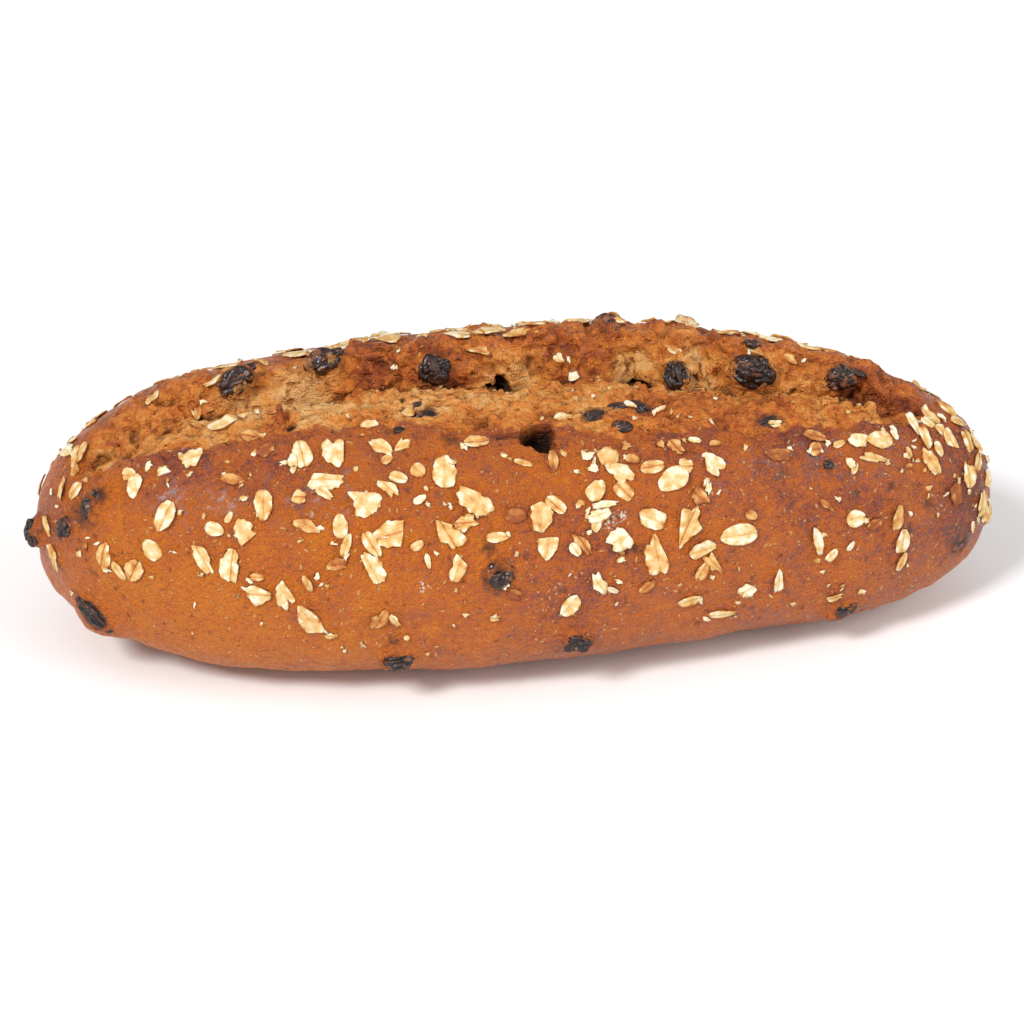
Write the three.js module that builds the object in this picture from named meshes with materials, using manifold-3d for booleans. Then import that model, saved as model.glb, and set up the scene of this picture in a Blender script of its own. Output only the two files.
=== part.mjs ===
// A fruited bloomer: a hearth-baked loaf with one long slash that burst open in the oven,
// whole raisins baked into it, and rolled oats stuck on its crust.
// Millimetres. +X runs along the loaf, +Y to its back, +Z up. The loaf rests on z = 0.
//
// A place on the crust is given by two numbers:
//   along  -1 at the left tip, 0 at the middle, 1 at the right tip
//   round  degrees round the loaf: 0 is the front, 90 the top, 180 the back

import * as THREE from "three";
import { mergeVertices } from "three/addons/utils/BufferGeometryUtils.js";
import Module from "manifold-3d";

const wasm = await Module();
wasm.setup();

// ---------------------------------------------------------------- driving dimensions

const LENGTH = 255;
const WIDTH = 104;
const HEIGHT = 75;
const BELLY = 0.35 * HEIGHT; // height of the widest line
const UNDER = 1.09 * BELLY; // how deep the underside would reach if it weren't flat
const BOW = 2.6; // the middle of the loaf lies this much behind its tips
const WIDER_LEFT = 0.12; // share by which the left half is wider, and the right half narrower
const HIGHER_RIGHT = 0.08; // share by which the right half stands higher

// Roundness of each outline: 2 is an ellipse, more is boxier.
const PLAN = { left: 2.03, right: 1.92 };
const PROFILE = { left: 3.3, right: 2.55 };
const SECTION = { dome: 2.15, underside: 2.6 };
const UNDERSIDE_ENDS = 2.8;

// The burst slash. Each line gives [along, y of that edge of the tear].
const FRONT_LIP = [
  [-0.95, -8],
  [-0.75, -15],
  [-0.4, -19.5],
  [0, -24],
  [0.35, -25.5],
  [0.62, -20],
  [0.86, -10],
];
const BACK_LIP = [
  [-0.95, 3],
  [-0.75, 8],
  [-0.4, 11],
  [0, 15],
  [0.2, 16],
  [0.45, 10],
  [0.65, 4],
  [0.86, 2],
];
const TEAR = { from: -0.89, to: 0.87, fade: 0.14 };

// Height of the torn surface against the unbroken dome, from the front lip (0) to the back lip (1).
const TORN_PROFILE = [
  [-0.3, 0],
  [-0.06, 0.4],
  [0.05, -2.2],
  [0.3, -5],
  [0.5, -6.3],
  [0.66, -8],
  [0.73, -9.6],
  [0.79, -7.4],
  [0.9, -1],
  [1.0, 2.7],
  [1.14, 2.5],
  [1.5, 1],
  [2.0, 0],
];

// How finely the dough is faceted: along the loaf, over its top and up its sides.
const GRID = { along: 46, top: 20, side: 8 };
const TOP_PATCH = { from: 50, to: 126 }; // degrees round, where the facets are finest
const BASE_PATCH = 45; // degrees each way from straight down that the base facets span
const END_CAP = 0.88; // along, where the end caps begin

const GAP = 0.35; // clearance round everything that sits in or on the dough
const MERGE_DISTANCE = 0.001;
const RAISIN_FLATNESS = 0.85; // height of a raisin over its width
const WRINKLES = { depth: 0.05, lengthwise: 7, crosswise: 6, slant: 3 };
const FLAKE_THICKNESS = 0.9;
const FLAKE_SIDES = 12;
const FLAKE_RAGGED = { share: 0.07, lobes: 3, variety: 40 }; // how its outline strays from an oval

// ---------------------------------------------------------------- the pieces in the dough

// Raisins that show: [along, round, length, width, sunk share of the width, turn in degrees].
const RAISINS = [
  [-0.99, 33, 7.5, 6.5, 0.3, 60],
  [-0.87, 46, 9.5, 6.5, 0.6, 65],
  [-0.93, 34, 7, 6, 0.66, 20],
  [-0.88, -8, 12.5, 7, 0.55, -40],
  [-0.57, 96, 11, 7.5, 0.6, 20],
  [-0.39, 97, 9.5, 7, 0.6, 10],
  [-0.16, 95, 8.8, 8, 0.45, 0],
  [-0.19, 74, 8, 6, 0.66, 10],
  [0.21, 107, 9, 7.5, 0.62, 0],
  [0.34, 92, 8.5, 7, 0.5, 80],
  [0.155, 68, 8.5, 6, 0.6, 35],
  [0.245, 71, 8.5, 6, 0.6, -40],
  [0.5, 91, 12, 8.5, 0.5, -20],
  [0.68, 89, 8.5, 7, 0.55, 10],
  [0.51, 62, 8.5, 5.5, 0.66, 5],
  [-0.06, 16, 9.5, 8.5, 0.72, 60],
  [-0.27, -15, 9, 6.5, 0.62, 20],
  [0.1, -10, 8.5, 6, 0.62, 10],
  [0.66, -25, 10, 5.5, 0.62, 15],
  [0.92, -4, 9.5, 6.5, 0.72, 0],
];

// Gas holes that opened in the tear: [along, round, length, height, sunk share, turn].
const GAS_HOLES = [
  [0.035, 58, 8.5, 7.5, 0.3, 10],
  [-0.045, 92, 10.5, 3.4, 0.3, 0],
  [0.26, 86, 8, 3.6, 0.3, 0],
];

// The largest oat flakes: [along, round, length, width, turn in degrees].
const OAT_FLAKES = [
  [-0.91, 88, 8.6, 4.2, 75],
  [-0.78, 53, 6.4, 4.4, 90],
  [-0.66, 61, 6, 4.8, 20],
  [-0.72, 39, 8.4, 4.8, 60],
  [-0.75, 26, 6, 4.6, -50],
  [-0.85, 22, 7, 3.8, 75],
  [-0.79, 17, 6.4, 4.8, 60],
  [-0.65, 24, 8.6, 3.6, -60],
  [-0.59, 21, 8, 5.2, 80],
  [-0.44, 58, 8, 5.2, 100],
  [-0.375, 58, 7.6, 5.2, -70],
  [-0.4, 49, 9.4, 4.6, -5],
  [-0.52, 42, 8, 4.4, 85],
  [-0.56, 33, 7.2, 5.4, -40],
  [-0.32, 41, 7.2, 6, -45],
  [-0.27, 31, 9.2, 6.6, 15],
  [-0.31, 20, 7.4, 4.2, -65],
  [-0.49, 13, 7.6, 4.2, -65],
  [-0.44, 4, 9, 4.8, -60],
  [-0.16, 49, 9, 6.2, 90],
  [-0.1, 40, 9, 6, -40],
  [-0.16, 30, 9.4, 5.4, -60],
  [0.03, 33, 7.2, 5, 90],
  [0.04, 24, 6.6, 4.8, 80],
  [0.19, 44, 7.4, 4.6, -40],
  [0.08, 5, 6.6, 4.2, 50],
  [0.3, 40, 8.4, 6, 30],
  [0.385, 44, 6.6, 4.4, -50],
  [0.255, 29, 7.4, 5.6, -30],
  [0.325, 25, 10, 6, 65],
  [0.26, 17, 9.2, 5.8, -80],
  [0.435, 20, 10, 5.8, 0],
  [0.74, 51, 8, 4.8, 5],
  [0.78, 8, 6.6, 4.8, 80],
  [0.85, 42, 7.6, 3.6, -50],
  [0.965, 14, 8.4, 3.6, 85],
];

// ---------------------------------------------------------------- helpers

const radians = THREE.MathUtils.degToRad;
const halfLength = LENGTH / 2;

// The smooth curve through [at, value] stations, read at t.
function through(stations, t) {
  const last = stations.length - 1;
  const at = THREE.MathUtils.clamp(t, stations[0][0], stations[last][0]);
  const next = stations.findIndex(([station]) => station > at);
  const i = next < 0 ? last - 1 : next - 1;
  const slope = (k) => {
    const before = stations[Math.max(k - 1, 0)];
    const after = stations[Math.min(k + 1, last)];
    return (after[1] - before[1]) / (after[0] - before[0]);
  };
  const [[x0, y0], [x1, y1]] = [stations[i], stations[i + 1]];
  const span = x1 - x0;
  const s = (at - x0) / span;
  const ease = s * s * (3 - 2 * s);
  const bend = span * s * (1 - s) * (slope(i) * (1 - s) - slope(i + 1) * s);
  return y0 + (y1 - y0) * ease + bend;
}

// One quarter of a Lamé curve: 1 at t = 0, falling to 0 at t = 1.
function lame(t, roundness) {
  return Math.max(0, 1 - Math.abs(t) ** roundness) ** (1 / roundness);
}

// cos or sin pushed outwards, so that a section is boxier than an ellipse.
function squared(value, roundness) {
  return Math.sign(value) * Math.abs(value) ** (2 / roundness);
}

// ---------------------------------------------------------------- the loaf's surface

// The smooth loaf before its slash burst.
function dome(along, round) {
  const end = along < 0 ? "left" : "right";
  const halfWidth = (WIDTH / 2) * lame(along, PLAN[end]) * (1 - WIDER_LEFT * along);
  const rise = (HEIGHT - BELLY) * lame(along, PROFILE[end]) * (1 + HIGHER_RIGHT * along);
  const drop = UNDER * lame(along, UNDERSIDE_ENDS);
  const [c, s] = [Math.cos(radians(round)), Math.sin(radians(round))];
  const shape = s > 0 ? SECTION.dome : SECTION.underside;
  return new THREE.Vector3(
    along * halfLength,
    BOW * (1 - along * along) - halfWidth * squared(c, shape),
    BELLY + (s > 0 ? rise : drop) * squared(s, shape),
  );
}

// The loaf as baked: the tear sinks into the dome, and its back lip stands proud of it.
function crust(along, round) {
  const point = dome(along, round);
  if (round <= 0 || round >= 180) return point;
  const front = through(FRONT_LIP, along);
  const back = through(BACK_LIP, along);
  const across = (point.y - front) / (back - front);
  const fadeIn = THREE.MathUtils.smoothstep(along, TEAR.from, TEAR.from + TEAR.fade);
  const fadeOut = 1 - THREE.MathUtils.smoothstep(along, TEAR.to - TEAR.fade, TEAR.to);
  point.z += through(TORN_PROFILE, across) * fadeIn * fadeOut;
  return point;
}

// A frame on the crust: x along the loaf, z outwards. reach is how far one unit of along and
// one degree of round move a point there, in millimetres.
function seatOn(along, round) {
  const step = 0.01;
  const centre = Math.min(Math.max(along, step - 1), 1 - step);
  const lengthwise = crust(centre + step, round).sub(crust(centre - step, round));
  const girthwise = crust(along, round + 1).sub(crust(along, round - 1));
  const reach = { along: lengthwise.length() / (2 * step), round: girthwise.length() / 2 };
  const outward = new THREE.Vector3().crossVectors(lengthwise, girthwise).normalize();
  lengthwise.normalize();
  const upward = new THREE.Vector3().crossVectors(outward, lengthwise).normalize();
  const frame = new THREE.Matrix4().makeBasis(lengthwise, upward, outward);
  return { frame, outward, reach };
}

// Degrees round for a place on a box's ring, with the finest facets over the top.
function roundOf(y, z) {
  const { from, to } = TOP_PATCH;
  const [frontBase, backBase] = [BASE_PATCH - 90, 270 - BASE_PATCH];
  if (z >= Math.abs(y)) {
    return THREE.MathUtils.mapLinear(y / z, -1, 1, from, to);
  }
  if (-z >= Math.abs(y)) {
    return -90 + BASE_PATCH * (y / z);
  }
  if (y < 0) {
    return THREE.MathUtils.mapLinear(z / -y, -1, 1, frontBase, from);
  }
  return THREE.MathUtils.mapLinear(z / y, -1, 1, backBase, to);
}

// A box whose every grid point is moved onto the crust.
function doughGeometry() {
  const geometry = new THREE.BoxGeometry(2, 2, 2, GRID.along, GRID.top, GRID.side);
  const position = geometry.getAttribute("position");
  const capRadius = Math.sqrt(1 - END_CAP ** 2);
  for (let i = 0; i < position.count; i++) {
    const [x, y, z] = [position.getX(i), position.getY(i), position.getZ(i)];
    const ring = Math.max(Math.abs(y), Math.abs(z)); // 0 at an end cap's middle, 1 at its rim
    const onCap = Math.sign(x) * Math.sqrt(1 - (ring * capRadius) ** 2);
    const along = ring < 1 ? onCap : x * END_CAP;
    const round = ring > 0 ? roundOf(y / ring, z / ring) : 90;
    const point = crust(along, round);
    position.setXYZ(i, point.x, point.y, point.z);
  }
  return geometry;
}

// ---------------------------------------------------------------- solids

// A closed geometry as a manifold-3d solid.
function solid(geometry) {
  const bare = geometry.clone();
  bare.deleteAttribute("normal");
  bare.deleteAttribute("uv");
  const merged = mergeVertices(bare, MERGE_DISTANCE);
  return new wasm.Manifold(
    new wasm.Mesh({
      numProp: 3,
      vertProperties: merged.getAttribute("position").array,
      triVerts: new Uint32Array(merged.index.array),
    }),
  );
}

// A manifold-3d solid as a geometry.
function geometryOf(made) {
  const mesh = made.getMesh();
  const geometry = new THREE.BufferGeometry();
  geometry.setAttribute("position", new THREE.BufferAttribute(mesh.vertProperties, 3));
  geometry.setIndex(new THREE.BufferAttribute(mesh.triVerts, 1));
  return geometry;
}

// A plump, slightly wrinkled bead half sunk in the crust. grow widens it on every side.
function bead([along, round, length, width, sunk, turn], grow = 0) {
  const geometry = new THREE.IcosahedronGeometry(1, 1);
  const position = geometry.getAttribute("position");
  const { depth, lengthwise, crosswise, slant } = WRINKLES;
  for (let i = 0; i < position.count; i++) {
    const point = new THREE.Vector3().fromBufferAttribute(position, i);
    const wave = Math.sin(lengthwise * point.x + slant * point.z) * Math.cos(crosswise * point.y);
    point.multiplyScalar(1 + depth * wave);
    position.setXYZ(i, point.x, point.y, point.z);
  }
  const height = width * RAISIN_FLATNESS;
  const place = seatOn(along, round).frame.setPosition(crust(along, round));
  geometry.scale(length / 2 + grow, width / 2 + grow, height / 2 + grow);
  geometry.rotateZ(radians(turn));
  geometry.translate(0, 0, height / 2 - sunk * height);
  return geometry.applyMatrix4(place);
}

// A rolled oat: a thin oval that follows the crust, a hair above it.
function flake([along, round, length, width, turn]) {
  const geometry = new THREE.CylinderGeometry(1, 1, 1, FLAKE_SIDES);
  const { outward, reach } = seatOn(along, round);
  const { share, lobes, variety } = FLAKE_RAGGED;
  const position = geometry.getAttribute("position");
  for (let i = 0; i < position.count; i++) {
    const [x, y] = [position.getX(i), -position.getZ(i)];
    const ragged = 1 + share * Math.sin(lobes * Math.atan2(y, x) + variety * along);
    const spot = new THREE.Vector2((x * length) / 2, (y * width) / 2).multiplyScalar(ragged);
    spot.rotateAround(new THREE.Vector2(), radians(turn));
    const place = crust(along + spot.x / reach.along, round + spot.y / reach.round);
    const isTop = position.getY(i) > 0;
    place.addScaledVector(outward, isTop ? GAP + FLAKE_THICKNESS : GAP);
    position.setXYZ(i, place.x, place.y, place.z);
  }
  return geometry;
}

// The dough with its flat base, a pocket for every raisin and the open gas holes.
function loafSolid() {
  const below = new THREE.BoxGeometry(2 * LENGTH, 2 * WIDTH, HEIGHT).translate(0, 0, -HEIGHT / 2);
  let loaf = solid(doughGeometry()).subtract(solid(below));
  for (const hole of GAS_HOLES) {
    loaf = loaf.subtract(solid(bead(hole)));
  }
  for (const raisin of RAISINS) {
    loaf = loaf.subtract(solid(bead(raisin, GAP)));
  }
  return loaf;
}

// ---------------------------------------------------------------- materials

const crustMaterial = new THREE.MeshStandardMaterial({
  color: 0xa85a24,
  roughness: 0.55,
  metalness: 0,
});
const raisinMaterial = new THREE.MeshStandardMaterial({
  color: 0x241a1e,
  roughness: 0.4,
  metalness: 0,
});
const oatMaterial = new THREE.MeshStandardMaterial({
  color: 0xe6c07e,
  roughness: 0.7,
  metalness: 0,
});

// ---------------------------------------------------------------- the assembly

function named(name, geometry, material) {
  const mesh = new THREE.Mesh(geometry, material);
  mesh.name = name;
  return mesh;
}

function numbered(name, i) {
  return `${name}_${String(i + 1).padStart(2, "0")}`;
}

const bloomer = new THREE.Group();
bloomer.add(named("loaf", geometryOf(loafSolid()), crustMaterial));
RAISINS.forEach((raisin, i) => {
  bloomer.add(named(numbered("raisin", i), bead(raisin), raisinMaterial));
});
OAT_FLAKES.forEach((oat, i) => {
  bloomer.add(named(numbered("oat_flake", i), flake(oat), oatMaterial));
});

// The origin is the middle of the base, under the middle of the whole loaf.
const bounds = new THREE.Box3().setFromObject(bloomer);
const middle = bounds.getCenter(new THREE.Vector3());
bloomer.position.set(-middle.x, -middle.y, -bounds.min.z);

export default bloomer;
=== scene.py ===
# %% [markdown]
# # A fruited bloomer with a burst slash
# A bloomer is baked on the oven's floor with nothing round it. Before it goes in, the baker slashes its
# top, and as the dough swells the slash tears open: a smooth browned crust on both sides, pale stringy
# crumb between, and a ragged ridge of baked dough along the back. This one has raisins in the dough and
# rolled oats stuck on its skin.
#
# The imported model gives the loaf's place and size, the raisins and the biggest oat flakes. Here each gets
# its real surface, and the hundreds of smaller oats are added.

import math
import random

import bmesh
import bpy
import numpy as np
from mathutils import Matrix, Vector, noise
from mathutils.bvhtree import BVHTree


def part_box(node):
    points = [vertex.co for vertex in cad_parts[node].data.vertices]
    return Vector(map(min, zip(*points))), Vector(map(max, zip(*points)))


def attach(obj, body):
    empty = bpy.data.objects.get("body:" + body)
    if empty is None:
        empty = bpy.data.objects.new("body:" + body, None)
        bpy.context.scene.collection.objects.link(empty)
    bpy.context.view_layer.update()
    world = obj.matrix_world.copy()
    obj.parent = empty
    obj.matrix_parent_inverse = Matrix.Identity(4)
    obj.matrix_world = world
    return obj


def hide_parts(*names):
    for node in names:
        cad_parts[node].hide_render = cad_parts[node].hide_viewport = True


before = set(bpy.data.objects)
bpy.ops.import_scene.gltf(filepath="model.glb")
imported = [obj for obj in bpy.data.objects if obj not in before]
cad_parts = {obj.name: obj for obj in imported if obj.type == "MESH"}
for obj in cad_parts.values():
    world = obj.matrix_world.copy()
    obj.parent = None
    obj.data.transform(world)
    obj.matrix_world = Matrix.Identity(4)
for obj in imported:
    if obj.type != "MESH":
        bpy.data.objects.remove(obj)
bpy.context.view_layer.update()
raisin_nodes = sorted(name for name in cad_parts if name.startswith("raisin"))
flake_nodes = sorted(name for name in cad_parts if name.startswith("oat_flake"))
print("frame:", len(raisin_nodes), "raisins,", len(flake_nodes), "large flakes")

# %% [markdown]
# ## Where things are on a loaf
# A place on the crust needs only two numbers. `along` runs from -1 at the left tip to 1 at the right tip,
# and `round` is the angle round the loaf in degrees: 0 is the front, 90 the top, 180 the back. Sizes below
# are in the loaf's own millimetres, and `MM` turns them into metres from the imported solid's real length.

# %% The loaf's own millimetres
LOAF_LENGTH = 255
FRONT_REACH = 49.8  # from the line between the two tips to the front of the crust
low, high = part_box("loaf")
MM = (high.x - low.x) / LOAF_LENGTH
HALF_LENGTH = LOAF_LENGTH / 2
loaf_origin = Vector(((low.x + high.x) / 2, low.y + FRONT_REACH * MM, 0))
print(f"one loaf millimetre is {MM:.6f} m, origin {tuple(round(c, 4) for c in loaf_origin)}")


def to_frame(point):
    """A point in the loaf's millimetres as a place in the frame."""
    return loaf_origin + Vector(point) * MM


# %% [markdown]
# ## The shape before it burst
# Proofed dough is a rounded oblong: its plan and its side are close to ellipses but fuller, which a Lamé
# curve gives with one exponent each. The left end is broader, and the right end narrower and a little
# higher.

# %% The smooth dome
WIDTH = 104
HEIGHT = 75
BELLY = 0.35 * HEIGHT  # the height of the loaf's widest line
UNDER = 1.09 * BELLY  # a little more than BELLY, so that the oven floor cuts the underside flat
BOW = 2.6  # how far the middle bends back from the line between the tips
TAPER = 0.12  # how much narrower the right end is
LIFT = 0.08  # how much higher the right end is
DOME_FULLNESS = 2.15
UNDERSIDE_FULLNESS = 2.6
PLAN_FULLNESS = (2.03, 1.92)  # left end, right end
SIDE_FULLNESS = (3.3, 2.55)
FOOT_FULLNESS = 2.8


def lame(t, fullness):
    """1 in the middle and 0 at -1 and 1: a half ellipse at fullness 2, and squarer above that."""
    return np.maximum(0, 1 - np.abs(t) ** fullness) ** (1 / fullness)


def section(along):
    """Half width, height over the belly line, depth under it and sideways bow at each place along."""
    ends = (PLAN_FULLNESS, SIDE_FULLNESS)
    plan, side = (np.where(along < 0, lame(along, left), lame(along, right)) for left, right in ends)
    half_width = WIDTH / 2 * plan * (1 - TAPER * along)
    rise = (HEIGHT - BELLY) * side * (1 + LIFT * along)
    drop = UNDER * lame(along, FOOT_FULLNESS)
    return half_width, rise, drop, BOW * (1 - along**2)


def dome(along, round_degrees):
    """Points of the unbroken loaf in its millimetres."""
    half_width, rise, drop, bow = section(along)
    angle = np.radians(round_degrees)
    c, s = np.cos(angle), np.sin(angle)
    fullness = np.where(s > 0, DOME_FULLNESS, UNDERSIDE_FULLNESS)
    y = bow - half_width * np.sign(c) * np.abs(c) ** (2 / fullness)
    z = BELLY + np.where(s > 0, rise, drop) * np.sign(s) * np.abs(s) ** (2 / fullness)
    return np.stack([along * HALF_LENGTH, y, np.maximum(z, 0)], -1)


print("top of the middle:", dome(np.array([0]), np.array([90]))[0].round(1))

# %% [markdown]
# ## The lines of the tear
# Three lines run along the burst: the front lip, where the crust ends, the crevice at the foot of the back
# wall, and the back lip, a ridge that the rising dough pushed up. The torn face falls gently from the lip
# to the crevice and climbs steeply to the ridge. Each line is a few given stations with a smooth curve
# through them.

# %% Stations and the curve through them
FRONT_LIP = [(-0.95, -8), (-0.75, -15), (-0.4, -19.5), (0, -24), (0.35, -25.5), (0.62, -20), (0.86, -10)]
CREVICE = [
    (-0.95, -5),
    (-0.81, -7),
    (-0.75, -2.5),
    (-0.68, 0.5),
    (-0.57, 4.5),
    (-0.45, 6.2),
    (-0.2, 6.6),
    (0, 6.2),
    (0.2, 5),
    (0.4, 2.4),
    (0.55, 0.6),
    (0.7, -0.5),
    (0.86, -3),
]
BACK_LIP = [(-0.95, 3), (-0.75, 8), (-0.4, 11), (0, 15), (0.2, 16), (0.45, 10), (0.65, 4), (0.86, 2)]
AT_CREVICE = 0.73  # where the crevice lies between the front lip, 0, and the back lip, 1
# across, how far up the face is from the dome in millimetres
TORN_PROFILE = [
    (-0.3, 0),
    (-0.06, 0.5),
    (0.05, -0.6),
    (0.3, -3),
    (0.5, -5.4),
    (0.66, -8),
    (0.73, -10.2),
    (0.79, -7.6),
    (0.9, -1),
    (1.0, 2.7),
    (1.14, 2.5),
    (1.5, 1),
    (2.0, 0),
]
# along, how far open it is
TEAR_DEPTH = [
    (-0.91, 0),
    (-0.83, 0.4),
    (-0.7, 0.62),
    (-0.5, 0.9),
    (-0.2, 1),
    (0.6, 1),
    (0.78, 0.8),
    (0.88, 0),
]


def through(stations, t):
    """The smooth curve through (place, value) stations, read at every t."""
    places, values = np.array(stations, float).T
    slopes = np.gradient(values, places)
    t = np.clip(t, places[0], places[-1])
    i = np.clip(np.searchsorted(places, t, side="right") - 1, 0, len(places) - 2)
    span = places[i + 1] - places[i]
    s = (t - places[i]) / span
    ease = s * s * (3 - 2 * s)
    bend = span * s * (1 - s) * (slopes[i] * (1 - s) - slopes[i + 1] * s)
    return values[i] + (values[i + 1] - values[i]) * ease + bend


def smooth(t, start, end):
    """0 before start, 1 after end, and an S between them."""
    s = np.clip((t - start) / (end - start), 0, 1)
    return s * s * (3 - 2 * s)


def across_tear(along, y):
    """0 on the front lip, AT_CREVICE in the crevice, 1 on the back lip."""
    front, crevice, back = (through(line, along) for line in (FRONT_LIP, CREVICE, BACK_LIP))
    falling = AT_CREVICE * (y - front) / (crevice - front)
    climbing = AT_CREVICE + (1 - AT_CREVICE) * (y - crevice) / (back - crevice)
    inside = np.where(y < crevice, falling, climbing)
    before, after = (y - front) / (back - front), 1 + (y - back) / (back - front)
    return np.where(y < front, before, np.where(y > back, after, inside))


lines_at_middle = [float(through(line, 0).round(1)) for line in (FRONT_LIP, CREVICE, BACK_LIP)]
print("front lip, crevice and back lip at the middle:", lines_at_middle)

# %% [markdown]
# ## Even dough to sculpt
# A sphere pulled to the loaf's outline has long thin faces. A voxel remesh turns it into even quads of
# about a millimetre, like clay that can take detail anywhere, and the torn strip is then split once more
# because its strings and pores are finer than the crust's. Remeshing leaves tiny steps, so every point is
# pushed back onto the smooth outline before any detail is made.

# %% Blank the dough
VOXEL = 1.35  # millimetres across one quad
DOUGH_RINGS = 160
DOUGH_SEGMENTS = 220


def shaped_sphere():
    """A sphere whose poles are the loaf's tips, pulled to the unbroken loaf."""
    bm = bmesh.new()
    bmesh.ops.create_uvsphere(bm, u_segments=DOUGH_SEGMENTS, v_segments=DOUGH_RINGS, radius=1)
    bmesh.ops.rotate(bm, verts=bm.verts, matrix=Matrix.Rotation(math.pi / 2, 3, "Y"))
    unit = np.array([v.co for v in bm.verts])
    round_degrees = np.degrees(np.arctan2(unit[:, 2], -unit[:, 1]))
    for vert, point in zip(bm.verts, dome(np.clip(unit[:, 0], -1, 1), round_degrees)):
        vert.co = to_frame(point)
    bmesh.ops.recalc_face_normals(bm, faces=bm.faces)
    return bm


def object_from(bm, name):
    """A new object in the scene with the mesh of bm, at the origin."""
    mesh = bpy.data.meshes.new(name)
    bm.to_mesh(mesh)
    bm.free()
    obj = bpy.data.objects.new(name, mesh)
    bpy.context.scene.collection.objects.link(obj)
    return obj


def apply_modifiers(obj):
    """The object's mesh becomes what its modifiers show."""
    graph = bpy.context.evaluated_depsgraph_get()
    finished = bpy.data.meshes.new_from_object(obj.evaluated_get(graph))
    obj.modifiers.clear()
    obj.data = finished


dough = object_from(shaped_sphere(), "dough")
remesh = dough.modifiers.new("even quads", "REMESH")
remesh.mode = "VOXEL"
remesh.voxel_size = VOXEL * MM
apply_modifiers(dough)
print("even quads:", len(dough.data.polygons))

# %% [markdown]
# ## Where the raisins are
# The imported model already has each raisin, so nothing is placed twice. A raisin's longest axis is the
# direction in which its corners spread most, which the eigenvectors of their covariance give without any
# fitting.


# %% Find each raisin in the frame
def lie_of(node):
    """Centre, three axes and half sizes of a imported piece, longest first, in the loaf's millimetres."""
    corners = np.unique(np.round([v.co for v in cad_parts[node].data.vertices], 7), axis=0)
    corners = (corners - np.array(loaf_origin)) / MM
    centre = (corners.min(0) + corners.max(0)) / 2
    spread = np.linalg.eigh(np.cov((corners - centre).T))[1][:, ::-1]
    if np.linalg.det(spread) < 0:
        spread[:, 2] *= -1
    halves = np.ptp((corners - centre) @ spread, axis=0) / 2
    return centre, spread, halves


raisins = {name: lie_of(name) for name in raisin_nodes}
print("half sizes of the first raisin in millimetres:", raisins[raisin_nodes[0]][2].round(1))

# %% [markdown]
# ## Finer dough where it matters
# The strip that tears and the dough round each raisin need twice the detail, so only their edges are split.
# Both are found by asking every vertex where it is, and that costs nothing on the plain crust.

# %% Settle points on the dome
NEAR_TIP = 0.985  # past this share of the half length the outline closes, and points stay as they are
BASE_BAND = 1.5  # millimetres over the floor that stay flat


def loaf_points(bm):
    """Every vertex in the loaf's millimetres."""
    return (np.array([v.co for v in bm.verts]) - np.array(loaf_origin)) / MM


def settle(points):
    """Push points in or out until they lie on the unbroken loaf. Tips and the flat base stay as they are."""
    along = np.clip(points[:, 0] / HALF_LENGTH, -NEAR_TIP, NEAR_TIP)
    half_width, rise, drop, bow = section(along)
    above = points[:, 2] > BELLY
    fullness = np.where(above, DOME_FULLNESS, UNDERSIDE_FULLNESS)
    side = np.abs(points[:, 1] - bow) / half_width
    up = np.abs(points[:, 2] - BELLY) / np.where(above, rise, drop)
    reach = (side**fullness + up**fullness) ** (1 / fullness)
    free = (points[:, 2] > BASE_BAND) & (np.abs(points[:, 0]) < NEAR_TIP * HALF_LENGTH)
    share = np.where(free, 1 / reach, 1)
    settled = points.copy()
    settled[:, 1] = bow + (points[:, 1] - bow) * share
    settled[:, 2] = BELLY + (points[:, 2] - BELLY) * share
    return settled


# %% Split the torn strip and the raisins' surroundings
RAISIN_SKIRT = 1.5  # millimetres round a raisin, and half sizes out from it, that are split too


def split_finer(bm, chosen):
    """Halves every edge whose two ends are chosen."""
    bm.verts.ensure_lookup_table()
    edges = [e for e in bm.edges if chosen[e.verts[0].index] and chosen[e.verts[1].index]]
    bmesh.ops.subdivide_edges(bm, edges=edges, cuts=1, use_grid_fill=True)
    bmesh.ops.triangulate(bm, faces=bm.faces)
    bm.verts.index_update()


bm = bmesh.new()
bm.from_mesh(dough.data)
points = loaf_points(bm)
along = points[:, 0] / HALF_LENGTH
across = across_tear(along, points[:, 1])
fine = (across > -0.2) & (across < 1.25) & (points[:, 2] > BELLY) & (along > -0.93) & (along < 0.9)
for centre, axes, halves in raisins.values():
    fine |= np.sqrt((((points - centre) @ axes / (halves + RAISIN_SKIRT)) ** 2).sum(1)) < RAISIN_SKIRT
split_finer(bm, fine)
points = settle(loaf_points(bm))
print("dough vertices:", len(bm.verts), "triangles:", len(bm.faces))

# %% [markdown]
# ## Sculpting by numbers
# A sculptor pushes clay in and out. Here each push is a field: a number for every vertex that says how far
# it moves. Smooth noise at one size gives swells of that size, so a swell, a knobble and a grain are the
# same field read at three scales. Moving the points along their normals keeps the shape round.


# %% Fields over the dough
def field(points, size, seed=0, stretch=(1, 1, 1)):
    """Smooth noise from -1 to 1 whose bumps are about size across. stretch lengthens them along x, y or z."""
    scaled = points / (size * np.array(stretch)) + 17.3 * seed
    return np.array([noise.noise(p) for p in scaled])


def pits(points, size, seed=0, stretch=(1, 1, 1)):
    """0 between pores and up to 1 in the middle of one. Pores are scattered about size apart."""
    scaled = points / (size * np.array(stretch)) + 9.7 * seed
    nearest = np.array([noise.voronoi(p)[0][0] for p in scaled])
    return 1 - smooth(nearest, 0.12, 0.42)


def ridges(points, size, seed=0, stretch=(1, 1, 1)):
    """Thin raised strings: 1 on a string, 0 away from it."""
    return 1 - smooth(np.abs(field(points, size, seed, stretch)), 0, 0.28)


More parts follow.
